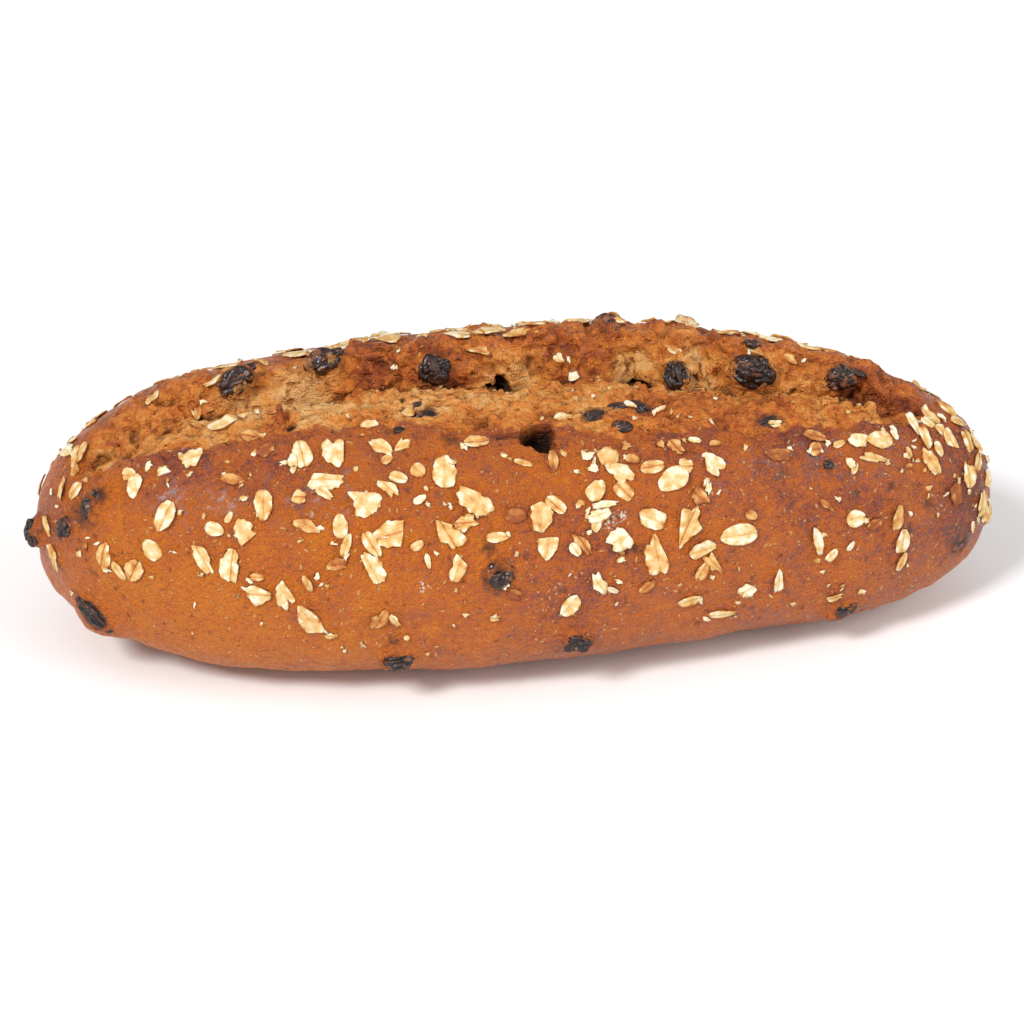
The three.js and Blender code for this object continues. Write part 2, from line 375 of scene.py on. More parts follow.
def write_points(bm, points):
    """Puts points back on the vertices of bm, in the frame's metres."""
    for vert, point in zip(bm.verts, points):
        vert.co = to_frame(point)
    bm.normal_update()


def normals_of(bm):
    """Every vertex's direction out of the dough."""
    return np.array([v.normal for v in bm.verts])


sample = field(points[::50], 46, 1)
print(f"a field of 46 mm swells goes from {sample.min():.2f} to {sample.max():.2f}")

# %% [markdown]
# ## The crust's swells
# The crust swells and dips gently where the dough relaxed in the oven. Broad noise gives most of that for
# nothing, and the few dips that a loaf of this shape shows clearly are listed on top of it.

# %% Swells in the crust
# along, round, reach in millimetres, how many millimetres out (or, below 0, in)
SLUMPS = [
    (0.38, -38, 30, -3.2),
    (0.1, -45, 22, -1.5),
    (-0.97, -25, 15, -2.2),
    (-0.93, 78, 15, -1.6),
    (-0.43, 100, 15, -2.2),
    (-0.67, 104, 8, 1.6),
    (0.12, 106, 13, -1.3),
    (0.72, 96, 20, -1.8),
    (0.8, -20, 20, 0.8),
    (-0.9, -12, 8, 1.8),
    (0.35, -30, 9, 1.0),
    (-0.82, 86, 17, -2.6),
    (-0.62, 102, 12, -1.2),
    (0.45, 102, 24, -2.8),
    (-0.07, 103, 12, -2.6),
    (0.96, 18, 14, 1.6),
    (0.29, 104, 12, -1.5),
    (-0.28, -42, 24, -1.5),
    (-0.87, -24, 6, 2.6),
    (-0.42, 100, 13, -2.0),
    (-0.57, 101, 9, -1.6),
    (0.83, 85, 12, -1.3),
    (-0.84, -45, 14, -2.0),
]


def near_places(points, places):
    """For each (along, round, reach, ...) row, how near every point is to it, from 0 to 1."""
    for along, round_degrees, reach, *amounts in places:
        spot = dome(np.array([along]), np.array([round_degrees]))[0]
        yield np.exp(-(((points - spot) ** 2).sum(1)) / reach**2), *amounts


write_points(bm, points)
normals = normals_of(bm)
swell = 1.0 * field(points, 46, 1) + 0.6 * field(points, 19, 2) + 0.28 * field(points, 7.5, 3)
for nearness, amount in near_places(points, SLUMPS):
    swell += amount * nearness
skin = 0.3 * field(points, 4.2, 4) + 0.2 * field(points, 2.1, 5)
points += normals * (swell + skin)[:, None]
print(f"crust moves from {swell.min():.1f} to {swell.max():.1f} mm")

# %% [markdown]
# ## The tear
# A slash opens because the crust sets before the dough has stopped rising. The torn profile is lowered into
# the dome, and it is read a little forward or back from point to point, so that the lips wander like torn
# paper. A boolean cut would leave a clean knife edge instead.


# %% Tear the slash open
def tear_places(points):
    """Along and across the tear, and how far open it is, for every point."""
    flat = points * np.array([1, 1, 0])
    along = points[:, 0] / HALF_LENGTH
    wander = 0.06 * field(flat, 13, 6) + 0.045 * field(flat, 4.6, 7) + 0.03 * field(flat, 2, 8)
    across = across_tear(along, points[:, 1]) + wander
    return along, across, through(TEAR_DEPTH, along) * smooth(points[:, 2], BELLY + 8, BELLY + 20)


along, across, open_share = tear_places(points)
points[:, 2] += through(TORN_PROFILE, across) * open_share
write_points(bm, points)
print(f"deepest point of the tear is {points[(across > 0.7) & (across < 0.76)][:, 2].min():.1f} mm up")

# %% Split the long edges of the stretched wall
LONGEST_EDGE = 0.85  # millimetres
on_wall = (across > 0.66) & (across < 1.1) & (open_share > 0.2)
bm.verts.ensure_lookup_table()
long_edges = [
    e
    for e in bm.edges
    if on_wall[e.verts[0].index] and on_wall[e.verts[1].index] and e.calc_length() > LONGEST_EDGE * MM
]
bmesh.ops.subdivide_edges(bm, edges=long_edges, cuts=1)
bmesh.ops.triangulate(bm, faces=bm.faces)
bm.verts.index_update()
points = loaf_points(bm)
along, across, open_share = tear_places(points)
print("long edges split:", len(long_edges), "triangles:", len(bm.faces))

# %% [markdown]
# ## The torn surfaces
# Each part of the tear has a surface of its own. The crumb, pulled apart while it was wet, has strings and
# pores along the pull. The back wall stood in the heat and set in hard knobbles, and the lips are ragged.
# One share for each part fades them into each other, so that no seam shows where they meet.

# %% Where each surface of the tear lies
torn = np.minimum(1, 2.2 * open_share)
crumb_band = smooth(across, 0.0, 0.09) * (1 - smooth(across, 0.74, 0.8)) * torn
back_wall = smooth(across, 0.72, 0.8) * (1 - smooth(across, 1.02, 1.1)) * torn
ridge_top = smooth(across, 0.88, 0.98) * (1 - smooth(across, 1.2, 1.45)) * torn
front_lip = smooth(across, -0.16, -0.04) * (1 - smooth(across, 0.0, 0.08)) * torn
print("vertices on the crumb:", int(crumb_band.sum()), "on the back wall:", int(back_wall.sum()))

# %% Strings, pores and knobbles
# Every field's first number is how many millimetres apart its bumps are, and the next one its seed. The
# number in front of a surface is how many millimetres it stands out.
strings = ridges(points, 3.2, 10, (4.5, 1, 1)) - 0.5
lumps = field(points, 7, 11, (1.6, 1, 1))
pores = pits(points, 3.0, 12, (1.5, 1, 1)) * smooth(field(points, 9, 13), -0.15, 0.3)
small_pores = pits(points, 1.7, 9)
shreds = smooth(field(points, 2.6, 33, (1.7, 1, 1)), 0.16, 0.42)
crumb_relief = 0.3 * strings + 1.9 * lumps - 1.7 * pores - 0.7 * small_pores + 1.6 * shreds
crumb_relief += 0.9 * field(points, 3.2, 34) + 0.5 * field(points, 1.6, 35)
big_lumps = np.abs(field(points, 9, 15, (1.3, 1, 1)))
small_lumps = np.abs(field(points, 4.4, 16))
knobbles = 5.2 * big_lumps + 2.3 * small_lumps + 0.8 * field(points, 1.9, 17) - 1.6
wall_pores = pits(points, 3.4, 18) * smooth(field(points, 11, 28), -0.3, 0.2)
wall_relief = knobbles - 1.6 * wall_pores - 0.3 * pits(points, 1.7, 32)
lip_relief = 0.6 * field(points, 4, 19) + 0.45 * field(points, 1.8, 20)
rough = np.maximum(back_wall, ridge_top)
calmer_ends = 0.45 * (1 - smooth(along, -0.62, -0.4)) + 0.55 * smooth(along, 0.6, 0.75)
calm = 1 - calmer_ends * ridge_top
relief = crumb_band * crumb_relief + rough * wall_relief * calm + front_lip * lip_relief
points += normals_of(bm) * relief[:, None]
write_points(bm, points)
print(f"relief goes from {relief.min():.1f} to {relief.max():.1f} mm")

# %% [markdown]
# ## Gas holes, alcoves and folds
# Big bubbles broke open as the loaf tore, and flaps of dough stood up. Each is a push: vertices inside an
# oval move, most in the middle. Some pushes go straight in, the slots under the back wall go backwards so
# that the dough overhangs them, and a push with a depth below zero pulls a flap up.

# %% Push the bubbles in and pull the flaps up
# along, y, length, width, depth, how far it turns from down (0) to back (1), how pale its inside is
PUSHES = [
    (0.035, -25.5, 9, 8.4, 12, 0.45, 0),
    (-0.03, -24.5, 10, 2.6, 2.2, 0.2, 0.4),
    (-0.055, 7, 18, 4.8, 8, 1, 0),
    (0.258, 4.8, 13, 4.6, 8, 1, 0),
    (-0.346, 4, 3.4, 3.4, 5, 0.4, 0),
    (0.25, 9, 13, 7, 3, 1, 1),
    (0.385, 7, 8, 7, 2.8, 1, 1),
    (-0.04, 17.5, 7, 3, 3, 1, 0),
    (-0.42, 7, 4, 1.4, 2, 0.6, 0),
    (-0.236, -8.5, 5, 1.4, 1.6, 0.3, 0),
    (-0.46, -15.5, 3, 2.5, 2, 0.3, 0),
    (0.5, -9.5, 7, 1.3, 1.8, 0.6, 0),
    (0.454, 1.3, 4, 2.5, 2, 0.6, 0),
    (-0.645, 3.2, 2.6, 1.8, 1.4, 0.6, 0),
    (-0.85, -5.5, 6, 5, 3, 0.6, 0.5),
    (-0.78, -0.5, 3, 5, 1.8, 0.4, 0.5),
    (0.68, -4, 3, 2, 1.6, 0.6, 0),
    (-0.48, -12, 2.8, 5, -5, 0.1, 0),
    (0.3, -3.5, 4.5, 3, -2, 0, 0),
    (0.22, -3, 5, 3, -1.6, 0, 0),
    (0.74, 2, 13, 6, -2, 0, 0),
    (-0.81, -15, 12, 7, -1.6, 0.1, 0),
]
UPPER_PART = BELLY + 12  # the pushes leave everything under this height alone
hollow = np.zeros(len(points))
pale = np.zeros(len(points))
wobble = 1 + 0.3 * field(points, 3, 21)
shaped = points.copy()
for push_along, push_y, length, width, depth, back, paleness in PUSHES:
    lengthways = (points[:, 0] - push_along * HALF_LENGTH) / (length / 2)
    sideways = (points[:, 1] - push_y) / (width / 2)
    from_middle = np.sqrt(lengthways**2 + sideways**2) / wobble
    inside = (1 - smooth(from_middle, 0.5, 1.1)) * (points[:, 2] > UPPER_PART)
    way = np.array([0, back, 0.7 * back - 1])
    shaped += inside[:, None] * depth * way / np.linalg.norm(way)
    if depth > 0:
        # painted shade: the inside of a pushed-in hole is darkened, less where its inside is pale
        hollow = np.maximum(hollow, smooth(inside, 0.1, 0.65) * (1 - paleness))
        pale = np.maximum(pale, inside * paleness)
points = shaped
write_points(bm, points)
print("bubbles and flaps:", len(PUSHES))

# %% [markdown]
# ## Raisin beds
# Only the raisins that the tear uncovered lie bare. The others kept part of the dough's skin: it stretched
# over them, tore open in patches and shrank back to a thin dark seam. `COVER` says how much skin each one
# kept.

# %% Bed the raisins
COVER = {
    "raisin_01": 0.15,
    "raisin_02": 0.3,
    "raisin_03": 0.4,
    "raisin_04": 0.2,
    "raisin_05": 0.46,
    "raisin_06": 0.5,
    "raisin_07": -0.1,
    "raisin_08": 0.3,
    "raisin_09": 0.8,
    "raisin_10": 0.1,
    "raisin_11": 0.1,
    "raisin_12": 0.2,
    "raisin_13": 0.16,
    "raisin_14": 0.48,
    "raisin_15": 0.35,
    "raisin_16": 0.42,
    "raisin_17": 0.35,
    "raisin_18": 0.3,
    "raisin_19": 0.35,
    "raisin_20": 0.45,
}
SKIN = 0.4  # millimetres of dough over a covered raisin
GAP = 0.8  # millimetres that bare dough lies under a raisin's surface
DEEPEST = 7  # millimetres in or out from a raisin's middle that its bed reaches


def outward_near(point, normals, reach):
    """The mean direction out of the dough round a point."""
    close = ((points - point) ** 2).sum(1) < reach**2
    mean = normals[close].sum(0)
    return mean / np.linalg.norm(mean)


stain = np.zeros(len(points))
normals = normals_of(bm)
for name, (centre, axes, halves) in raisins.items():
    outward = outward_near(centre, normals, halves[0] + 2.5)
    offset = points - centre
    height = offset @ outward
    side = (offset - height[:, None] * outward) @ axes / halves
    up = outward @ axes / halves
    lean = side @ up
    ring = np.sqrt(np.maximum(0, (side**2).sum(1) - lean**2 / (up @ up)))
    dome_over = np.sqrt(np.maximum(0, 1 - ring**2)) / np.sqrt(up @ up) - lean / (up @ up)
    close = np.abs(height) < DEEPEST
    near = (1 - smooth(ring, 0.95, 1.4)) * close
    patchy = 1 - ring + 0.9 * field(points, 3.4, 29) + 0.4 * field(points, 1.8, 30)
    bare = smooth(patchy, COVER[name] - 0.12, COVER[name] + 0.12) * (1 - smooth(ring, 0.74, 0.96))
    skinned = np.maximum(height, dome_over + SKIN)
    uncovered = np.minimum(height, dome_over - GAP)
    move = (bare * uncovered + (1 - bare) * skinned - height) * near
    points += move[:, None] * outward
    seam = (1 - smooth(ring, 0.7, 1.5)) * close
    stain = np.maximum(stain, seam * (0.5 + 0.5 * bare))
write_points(bm, points)
torn_edges = [v for v, share in zip(bm.verts, stain) if share > 0.05]
for _ in range(2):
    bmesh.ops.smooth_vert(bm, verts=torn_edges, factor=0.5, use_axis_x=True, use_axis_y=True, use_axis_z=True)
points = loaf_points(bm)
points[:, 2] = np.maximum(points[:, 2], 0)
write_points(bm, points)
print("raisin beds:", len(raisins))

# %% [markdown]
# ## How the oven coloured it
# Colour on bread follows heat: thin edges and high ridges burn first, flanks stay golden, and what was
# inside until the tear opened stays pale. These shares are stored on the vertices as attributes, so the
# material can read them at any sharpness and mix in its own grain.

# %% Colour of the crust
# along, round, reach in millimetres, how much darker (or, below 0, more golden)
BAKE_SPOTS = [
    (-0.6, -5, 42, -0.42),
    (-0.8, 6, 20, -0.2),
    (-0.99, 25, 15, 0.12),
    (-0.25, 24, 18, -0.15),
    (-0.6, 50, 18, 0.42),
    (-0.72, 57, 9, 0.15),
    (-0.42, 42, 14, 0.2),
    (-0.42, 58, 10, 0.15),
    (-0.25, 60, 14, 0.12),
    (0.1, 58, 12, 0.1),
    (0.08, 10, 20, 0.1),
    (0.3, 55, 12, 0.12),
    (0.58, 42, 22, 0.26),
    (0.78, 68, 10, 0.3),
    (0.9, 30, 22, 0.16),
    (0.95, 8, 15, 0.3),
    (-0.88, -1, 9, 0.3),
    (0.88, 16, 12, 0.22),
    (-0.97, 40, 12, 0.2),
    (0, 135, 60, 0.15),
    (-0.6, 150, 40, -0.1),
    (0.5, 170, 50, -0.15),
]
# along, round, reach: loose flour left where a flake rubbed off
FLOUR = [
    (-0.21, 14, 1.6),
    (0.16, 29, 2),
    (0.19, 31, 1.6),
    (0.16, 8, 1.5),
    (0.47, 1, 2),
    (0.61, 11, 1.5),
]
# along, round, reach, how dark: fruit that shows through the skin
SMUDGES = [
    (-0.142, 60, 3, 0.7),
    (-0.272, -3, 2.2, 0.8),
    (0.22, 20, 2.2, 0.75),
    (-0.08, 25, 2.6, 0.75),
    (-0.884, 41, 4, 0.85),
    (-0.85, 50, 3, 0.8),
    (-0.914, 45, 2.5, 0.7),
    (-0.875, 13, 1.3, 0.8),
    (0.632, 40, 1.6, 0.85),
    (0.84, 22, 1.6, 0.85),
    (0.91, 1, 3, 0.85),
    (0.79, 11, 2, 0.75),
    (0.683, 29, 1.6, 0.75),
    (0.76, 31, 1.6, 0.8),
    (0.53, 39, 2.5, 0.5),
]
for nearness, amount in near_places(points, SMUDGES):
    stain = np.maximum(stain, amount * nearness)
bake = 0.42 + 0.16 * field(points, 24, 22) + 0.12 * field(points, 8, 23) + 0.05 * front_lip + 0.15 * ridge_top
for nearness, amount in near_places(points, BAKE_SPOTS):
    bake += amount * nearness
flour = sum(nearness for (nearness,) in near_places(points, FLOUR))
print(f"mean bake {bake.mean():.2f}, smudges {len(SMUDGES)}, floury places {len(FLOUR)}")

# %% [markdown]
# ## How the torn face coloured
# The torn face has a scale of its own, from pale crumb that opened last, through ochre and toasted orange,
# to the dark red-brown of edges that stood in the heat. Listed places say where each lies, and every
# point takes the mean of the places near it.

# %% Colour of the torn face
# along, y, reach in millimetres, toast
TORN_SPOTS = [
    (-0.44, 1, 9, 0.0),
    (-0.36, -10, 7, 0.08),
    (-0.54, 2, 6, 0.06),
    (-0.61, -4, 6, 0.16),
    (-0.44, 9, 6, 0.0),
    (-0.5, 7.5, 6, 0.0),
    (-0.47, 10, 5, 0.0),
    (-0.38, 8.5, 5, 0.08),
    (-0.69, -9, 6, 0.3),
    (-0.75, -11, 5, 0.4),
    (-0.6, 5.5, 4, 0.4),
    (-0.69, 4.5, 6, 0.42),
    (-0.79, 3, 7, 0.62),
    (-0.68, 9.5, 5, 0.6),
    (-0.84, -5, 3, 0.3),
    (-0.77, -1, 3, 0.5),
    (-0.5, 11, 4, 0.6),
    (-0.23, -3, 9, 0.22),
    (-0.13, -6, 8, 0.24),
    (-0.03, -7, 8, 0.24),
    (0.11, -10, 6, 0.28),
    (0.175, -5, 6, 0.25),
    (0.045, -16.5, 6, 0.62),
    (-0.1, -19.5, 5, 0.6),
    (-0.3, -20, 5, 0.55),
    (0.115, -2, 4, 0.62),
    (-0.23, 7.5, 3.5, 0.6),
    (0.28, -7.5, 3.5, 0.58),
    (0.27, -17, 7, 0.68),
    (0.35, -15, 7, 0.66),
    (0.43, -17, 7, 0.66),
    (0.56, -16, 6, 0.66),
    (0.66, -15, 5, 0.6),
    (0.38, -7, 5, 0.5),
    (0.5, -11, 7, 0.66),
    (0.4, -12, 6, 0.68),
    (0.29, -3, 4, 0.32),
    (0.46, -4, 7, 0.25),
    (0.57, -4, 7, 0.25),
    (0.69, -7, 6, 0.28),
    (0.62, -9, 6, 0.36),
    (-0.29, 9.5, 8, 0.9),
    (-0.165, 12.6, 5, 0.86),
    (-0.48, -12, 3, 0.8),
    (-0.12, 8.5, 4, 0.7),
    (-0.02, 11, 7, 0.3),
    (0.0, 9, 5, 0.2),
    (0.127, 14, 6, 0.7),
    (0.156, 9, 5, 0.68),
    (0.27, 13.5, 4, 0.42),
    (0.26, 9, 5, 0.26),
    (0.385, 7.5, 5, 0.25),
    (0.44, 8, 4, 0.5),
    (0.5, 5, 5, 0.48),
    (0.6, 4, 7, 0.45),
    (0.74, 2, 8, 0.85),
    (0.82, 4, 7, 0.9),
    (0.68, 9, 6, 0.85),
]
EVERYWHERE = 0.1  # how much the general toast counts against the listed places
ON_RIDGE = 1.5
RIDGE_TOAST = 0.66
total = EVERYWHERE + ON_RIDGE * ridge_top
toast = EVERYWHERE * (0.3 + 0.25 * back_wall) + ON_RIDGE * ridge_top * RIDGE_TOAST
for spot_along, spot_y, reach, amount in TORN_SPOTS:
    away = (points[:, 0] - spot_along * HALF_LENGTH) ** 2 + (points[:, 1] - spot_y) ** 2
    weight = np.exp(-away / reach**2)
    total += weight
    toast += weight * amount
toast = toast / total + 0.16 * field(points, 9, 24) + 0.14 * field(points, 3.5, 25) - 0.25 * pale + 0.01
crumb = np.maximum(crumb_band, np.maximum(back_wall, 0.75 * ridge_top))
print(f"mean toast on the crumb {(toast * crumb_band).sum() / crumb_band.sum():.2f}")

# %% [markdown]
# ## Painted shade in the hollows
# Gas holes, the crevice and the creases between knobbles are painted darker, as shade put into their
# colour. A share of that painted shade is stored with the rest, and the dough is then
# finished: it stands for the imported loaf.

# %% Paint shade into the hollows and store every share on the dough
# painted shade: the crevice, the creases between knobbles and sunken places are darkened in colour
crevice = (1 - smooth(np.abs(across - 0.745), 0.0, 0.05)) * torn
creases = 1 - smooth(np.minimum(big_lumps * 1.5, small_lumps), 0, 0.09)
sunken_shade = smooth(-wall_relief, 0.8, 2.4) + 0.7 * creases
sunken_shade = sunken_shade * rough + smooth(-crumb_relief, 0.4, 1.5) * crumb_band
hollow = np.maximum(hollow, 0.8 * crevice * smooth(field(points, 8, 31), -0.35, 0.1))
hollow = np.maximum(hollow, 0.4 * np.clip(sunken_shade, 0, 1))
shares = {"bake": bake, "crumb": crumb, "toast": toast, "wall": rough}
shares.update({"hollow": hollow, "stain": stain, "flour": flour})
for name, values in shares.items():
    layer = bm.verts.layers.float.new(name)
    for vert, value in zip(bm.verts, np.clip(values, 0, 1)):
        vert[layer] = float(value)
for face in bm.faces:
    face.smooth = True
crust_tree = BVHTree.FromBMesh(bm)
bm.to_mesh(dough.data)
bm.free()
dough.name = "loaf_crust_and_crumb"
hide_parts("loaf")
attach(dough, "root")
print("dough triangles:", len(dough.data.polygons))

# %% [markdown]
# ## Raisins
# A raisin is a grape whose skin stayed the same size while the inside shrank, so the skin folds into deep
# soft wrinkles. Sharp valleys come from noise whose zero line is pulled in: the skin stays round between
# folds and drops along them.

# %% Model the raisins
RAISIN_SUBDIVISIONS = 5
LUMP_SHARE = 0.24
FOLD_DEPTH = 0.22  # shares of the raisin's half size
SMALL_FOLD_DEPTH = 0.08


def wrinkle(verts, layers, centre, axes, halves, seed, cover):
    """Folds a ball of verts into a raisin and sets it in its place. cover is its share of dough film."""
    crest, film = layers
    unit = np.array([v.co for v in verts])
    warp = unit + 0.3 * np.stack([field(unit, 0.9, seed + k) for k in range(3)], -1)
    folds = 1 - smooth(np.abs(field(warp, 0.6, seed + 3, (1.8, 1, 1))), 0, 0.2)
    small_folds = 1 - smooth(np.abs(field(warp, 0.28, seed + 4, (1.5, 1, 1))), 0, 0.25)
    lumps = field(unit, 0.8, seed + 5)
    films = smooth(field(warp, 0.4, seed + 6), 0.5 - 0.8 * cover, 0.75 - 0.8 * cover)
    swollen = 1.02 + LUMP_SHARE * lumps - FOLD_DEPTH * folds - SMALL_FOLD_DEPTH * small_folds
    shape = unit * swollen[:, None]
    placed = centre + (shape * halves) @ axes.T
    for vert, point, fold, share in zip(verts, placed, folds, films):
        vert.co = to_frame(point)
        # crest is 1 on a crest and 0 in a fold, where the finish paints shade
        vert[crest] = 1 - float(fold)
        vert[film] = float(share)


def finish_fruit(bm, name, nodes=()):
    """Fruit as an object of its own, riding with the loaf and standing for the nodes named."""
    for face in bm.faces:
        face.smooth = True
    bmesh.ops.recalc_face_normals(bm, faces=bm.faces)
    obj = object_from(bm, name)
    if nodes:
        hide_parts(*nodes)
    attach(obj, "root")
    return obj


def raisin(name, seed):
    """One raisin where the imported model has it."""
    centre, axes, halves = raisins[name]
    bm = bmesh.new()
    bmesh.ops.create_icosphere(bm, subdivisions=RAISIN_SUBDIVISIONS, radius=1)
    crest, film = bm.verts.layers.float.new("crest"), bm.verts.layers.float.new("film")
    wrinkle(list(bm.verts), (crest, film), centre, axes, halves, seed, COVER[name])
    return finish_fruit(bm, name + "_fruit", [name])


raisin_pieces = [raisin(name, 40 + 7 * i) for i, name in enumerate(raisin_nodes)]
print("raisins:", len(raisin_pieces))

# %% [markdown]
# ## Torn bits of fruit
# Kneading tears some raisins, and their scraps lie in the crumb and on the crust. They are small raisins,
# so the same wrinkles make them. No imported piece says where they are, so a place along and round is read
# off the dome and a line cast inwards from it finds the real crust, tear and all.

# %% Where a small piece sits on the crust
CAST_FROM = 12  # millimetres outside the dome
CAST_REACH = 30


def crust_at(point, outward):
    """Where a line from outside, coming in against outward, meets the crust, in the loaf's millimetres."""
    start = to_frame(point + outward * CAST_FROM)
    hit = crust_tree.ray_cast(start, -Vector(outward), CAST_REACH * MM)[0]
    if hit is None:
        return point
    return (np.array(hit) - np.array(loaf_origin)) / MM


def seat_on_dome(along, round_degrees):
    """A point of the dome with the directions along the loaf, up its side and outwards."""
    step = 0.01
    inner = min(max(along, step - 1), 1 - step)
    pair = dome(np.array([inner - step, inner + step]), np.array([round_degrees] * 2))
    girth = dome(np.array([along] * 2), np.array([round_degrees - 1, round_degrees + 1]))
    lengthwise = Vector(pair[1] - pair[0]).normalized()
    outward = lengthwise.cross(Vector(girth[1] - girth[0])).normalized()
    centre = dome(np.array([along]), np.array([round_degrees]))[0]
    return centre, np.array(lengthwise), np.array(outward.cross(lengthwise)), np.array(outward)


print("outwards on the front crust:", seat_on_dome(0, 20)[3].round(2))

# %% Torn bits of fruit beside the raisins
# along, round, length and width in millimetres, turn in degrees
FRUIT_BITS = [
    (0.203, 70, 5.4, 3.4, 10),
    (0.206, 60, 5.6, 3.8, -15),
    (-0.202, 77, 3.8, 1.6, 10),
    (-0.243, 64, 3.2, 2.2, 0),
    (-0.233, 74, 3.8, 1.3, 20),
    (0.715, 90, 5, 3, -20),
    (0.5, 96, 4.6, 3.6, 20),
    (-0.538, 99, 3.8, 3.2, 0),
    (-0.356, 99, 3.8, 3.2, 0),
    (0.626, 41, 3, 2.6, 40),
]
BIT_SEED = 300
BIT_COVER = 0.3


def fruit_bits(rows):
    """All the torn bits as one mesh."""
    bm = bmesh.new()
    layers = bm.verts.layers.float.new("crest"), bm.verts.layers.float.new("film")
    for i, (place, round_degrees, length, width, turn) in enumerate(rows):
        centre, lengthwise, upward, outward = seat_on_dome(place, round_degrees)
        angle = math.radians(turn)
        long_way = lengthwise * math.cos(angle) + upward * math.sin(angle)
        axes = np.stack([long_way, np.cross(outward, long_way), outward], -1)
        halves = np.array([length, width, 0.7 * width]) / 2
        made = bmesh.ops.create_icosphere(bm, subdivisions=4, radius=1)["verts"]
        wrinkle(made, layers, crust_at(centre, outward), axes, halves, BIT_SEED + 7 * i, BIT_COVER)
    return finish_fruit(bm, "fruit_bits")


raisin_pieces.append(fruit_bits(FRUIT_BITS))
print("bits of fruit:", len(FRUIT_BITS))

# %% [markdown]
# ## Oat flakes
# A rolled oat is a groat pressed between rollers: a thin oval with a crease down its middle. Most arrive
# damaged, with corners snapped off, frayed rims and one side curled up. Each starts as a small square grid
# drawn out to an oval. Its outline is cut back along a few straight breaks, it is laid on the crust by
# casting every vertex down onto it, and extruding gives it its thickness.

# %% A flake's outline
ANY_TURN = (0, 6.28)  # radians


def outline(x, y, breaks, splits, offset, fray):
    """A place on the square grid as a place on the flake, whose own size is 1 each way."""
    px, py = x * math.sqrt(1 - y * y / 2), y * math.sqrt(1 - x * x / 2)
    rim = max(abs(x), abs(y))
    coarse = noise.noise(Vector((px * 1.6 + offset, py * 1.6, offset)))
    ragged = noise.noise(Vector((px * 3.4, py * 3.4 + offset, offset)))
    swell = 1 + rim**3 * fray * (coarse + 0.8 * ragged)
    px, py = px * swell, py * swell * (1 - 0.12 * x)
    for turn, depth in splits:
        apart = abs(math.remainder(math.atan2(py, px) - turn, 2 * math.pi))
        kept = 1 - depth * rim**2 * max(0, 1 - apart / 0.45)
        px, py = px * kept, py * kept
    for turn, reach in breaks:
        nx, ny = math.cos(turn), math.sin(turn)
        past = max(0, px * nx + py * ny - reach)
        px, py = px - nx * past * 0.9, py - ny * past * 0.9
    return px, py, rim


# %% Damage that a flake arrives with
WHOLE = 0.45  # the share of larger flakes that kept their full outline
CHIP = 3  # millimetres: anything shorter is a broken chip with a rougher rim


def damage(length, width, rng):
    """Breaks, splits and fray, and the length and width that the flake had before them."""
    breaks, splits, fray = [], [], rng.uniform(0.05, 0.15)
    if rng.random() > WHOLE or length < CHIP:
        breaks = [(rng.uniform(*ANY_TURN), rng.uniform(0.45, 0.9)) for _ in range(rng.choice([1, 1, 2]))]
        splits = [(rng.uniform(*ANY_TURN), rng.uniform(0.25, 0.6)) for _ in range(rng.choice([0, 1, 2]))]
        fray = rng.uniform(0.1, 0.45) if length > CHIP else rng.uniform(0.5, 1)
        length, width = 1.1 * length, 1.1 * width
    return breaks, splits, fray, length, width


# %% Lay one flake on the crust
MOST_SINK = 0.5  # millimetres that a flake bends down into a dip, and up over a bump
MOST_RISE = 0.9
CREASE_WIDTH = 0.16  # shares of the half width


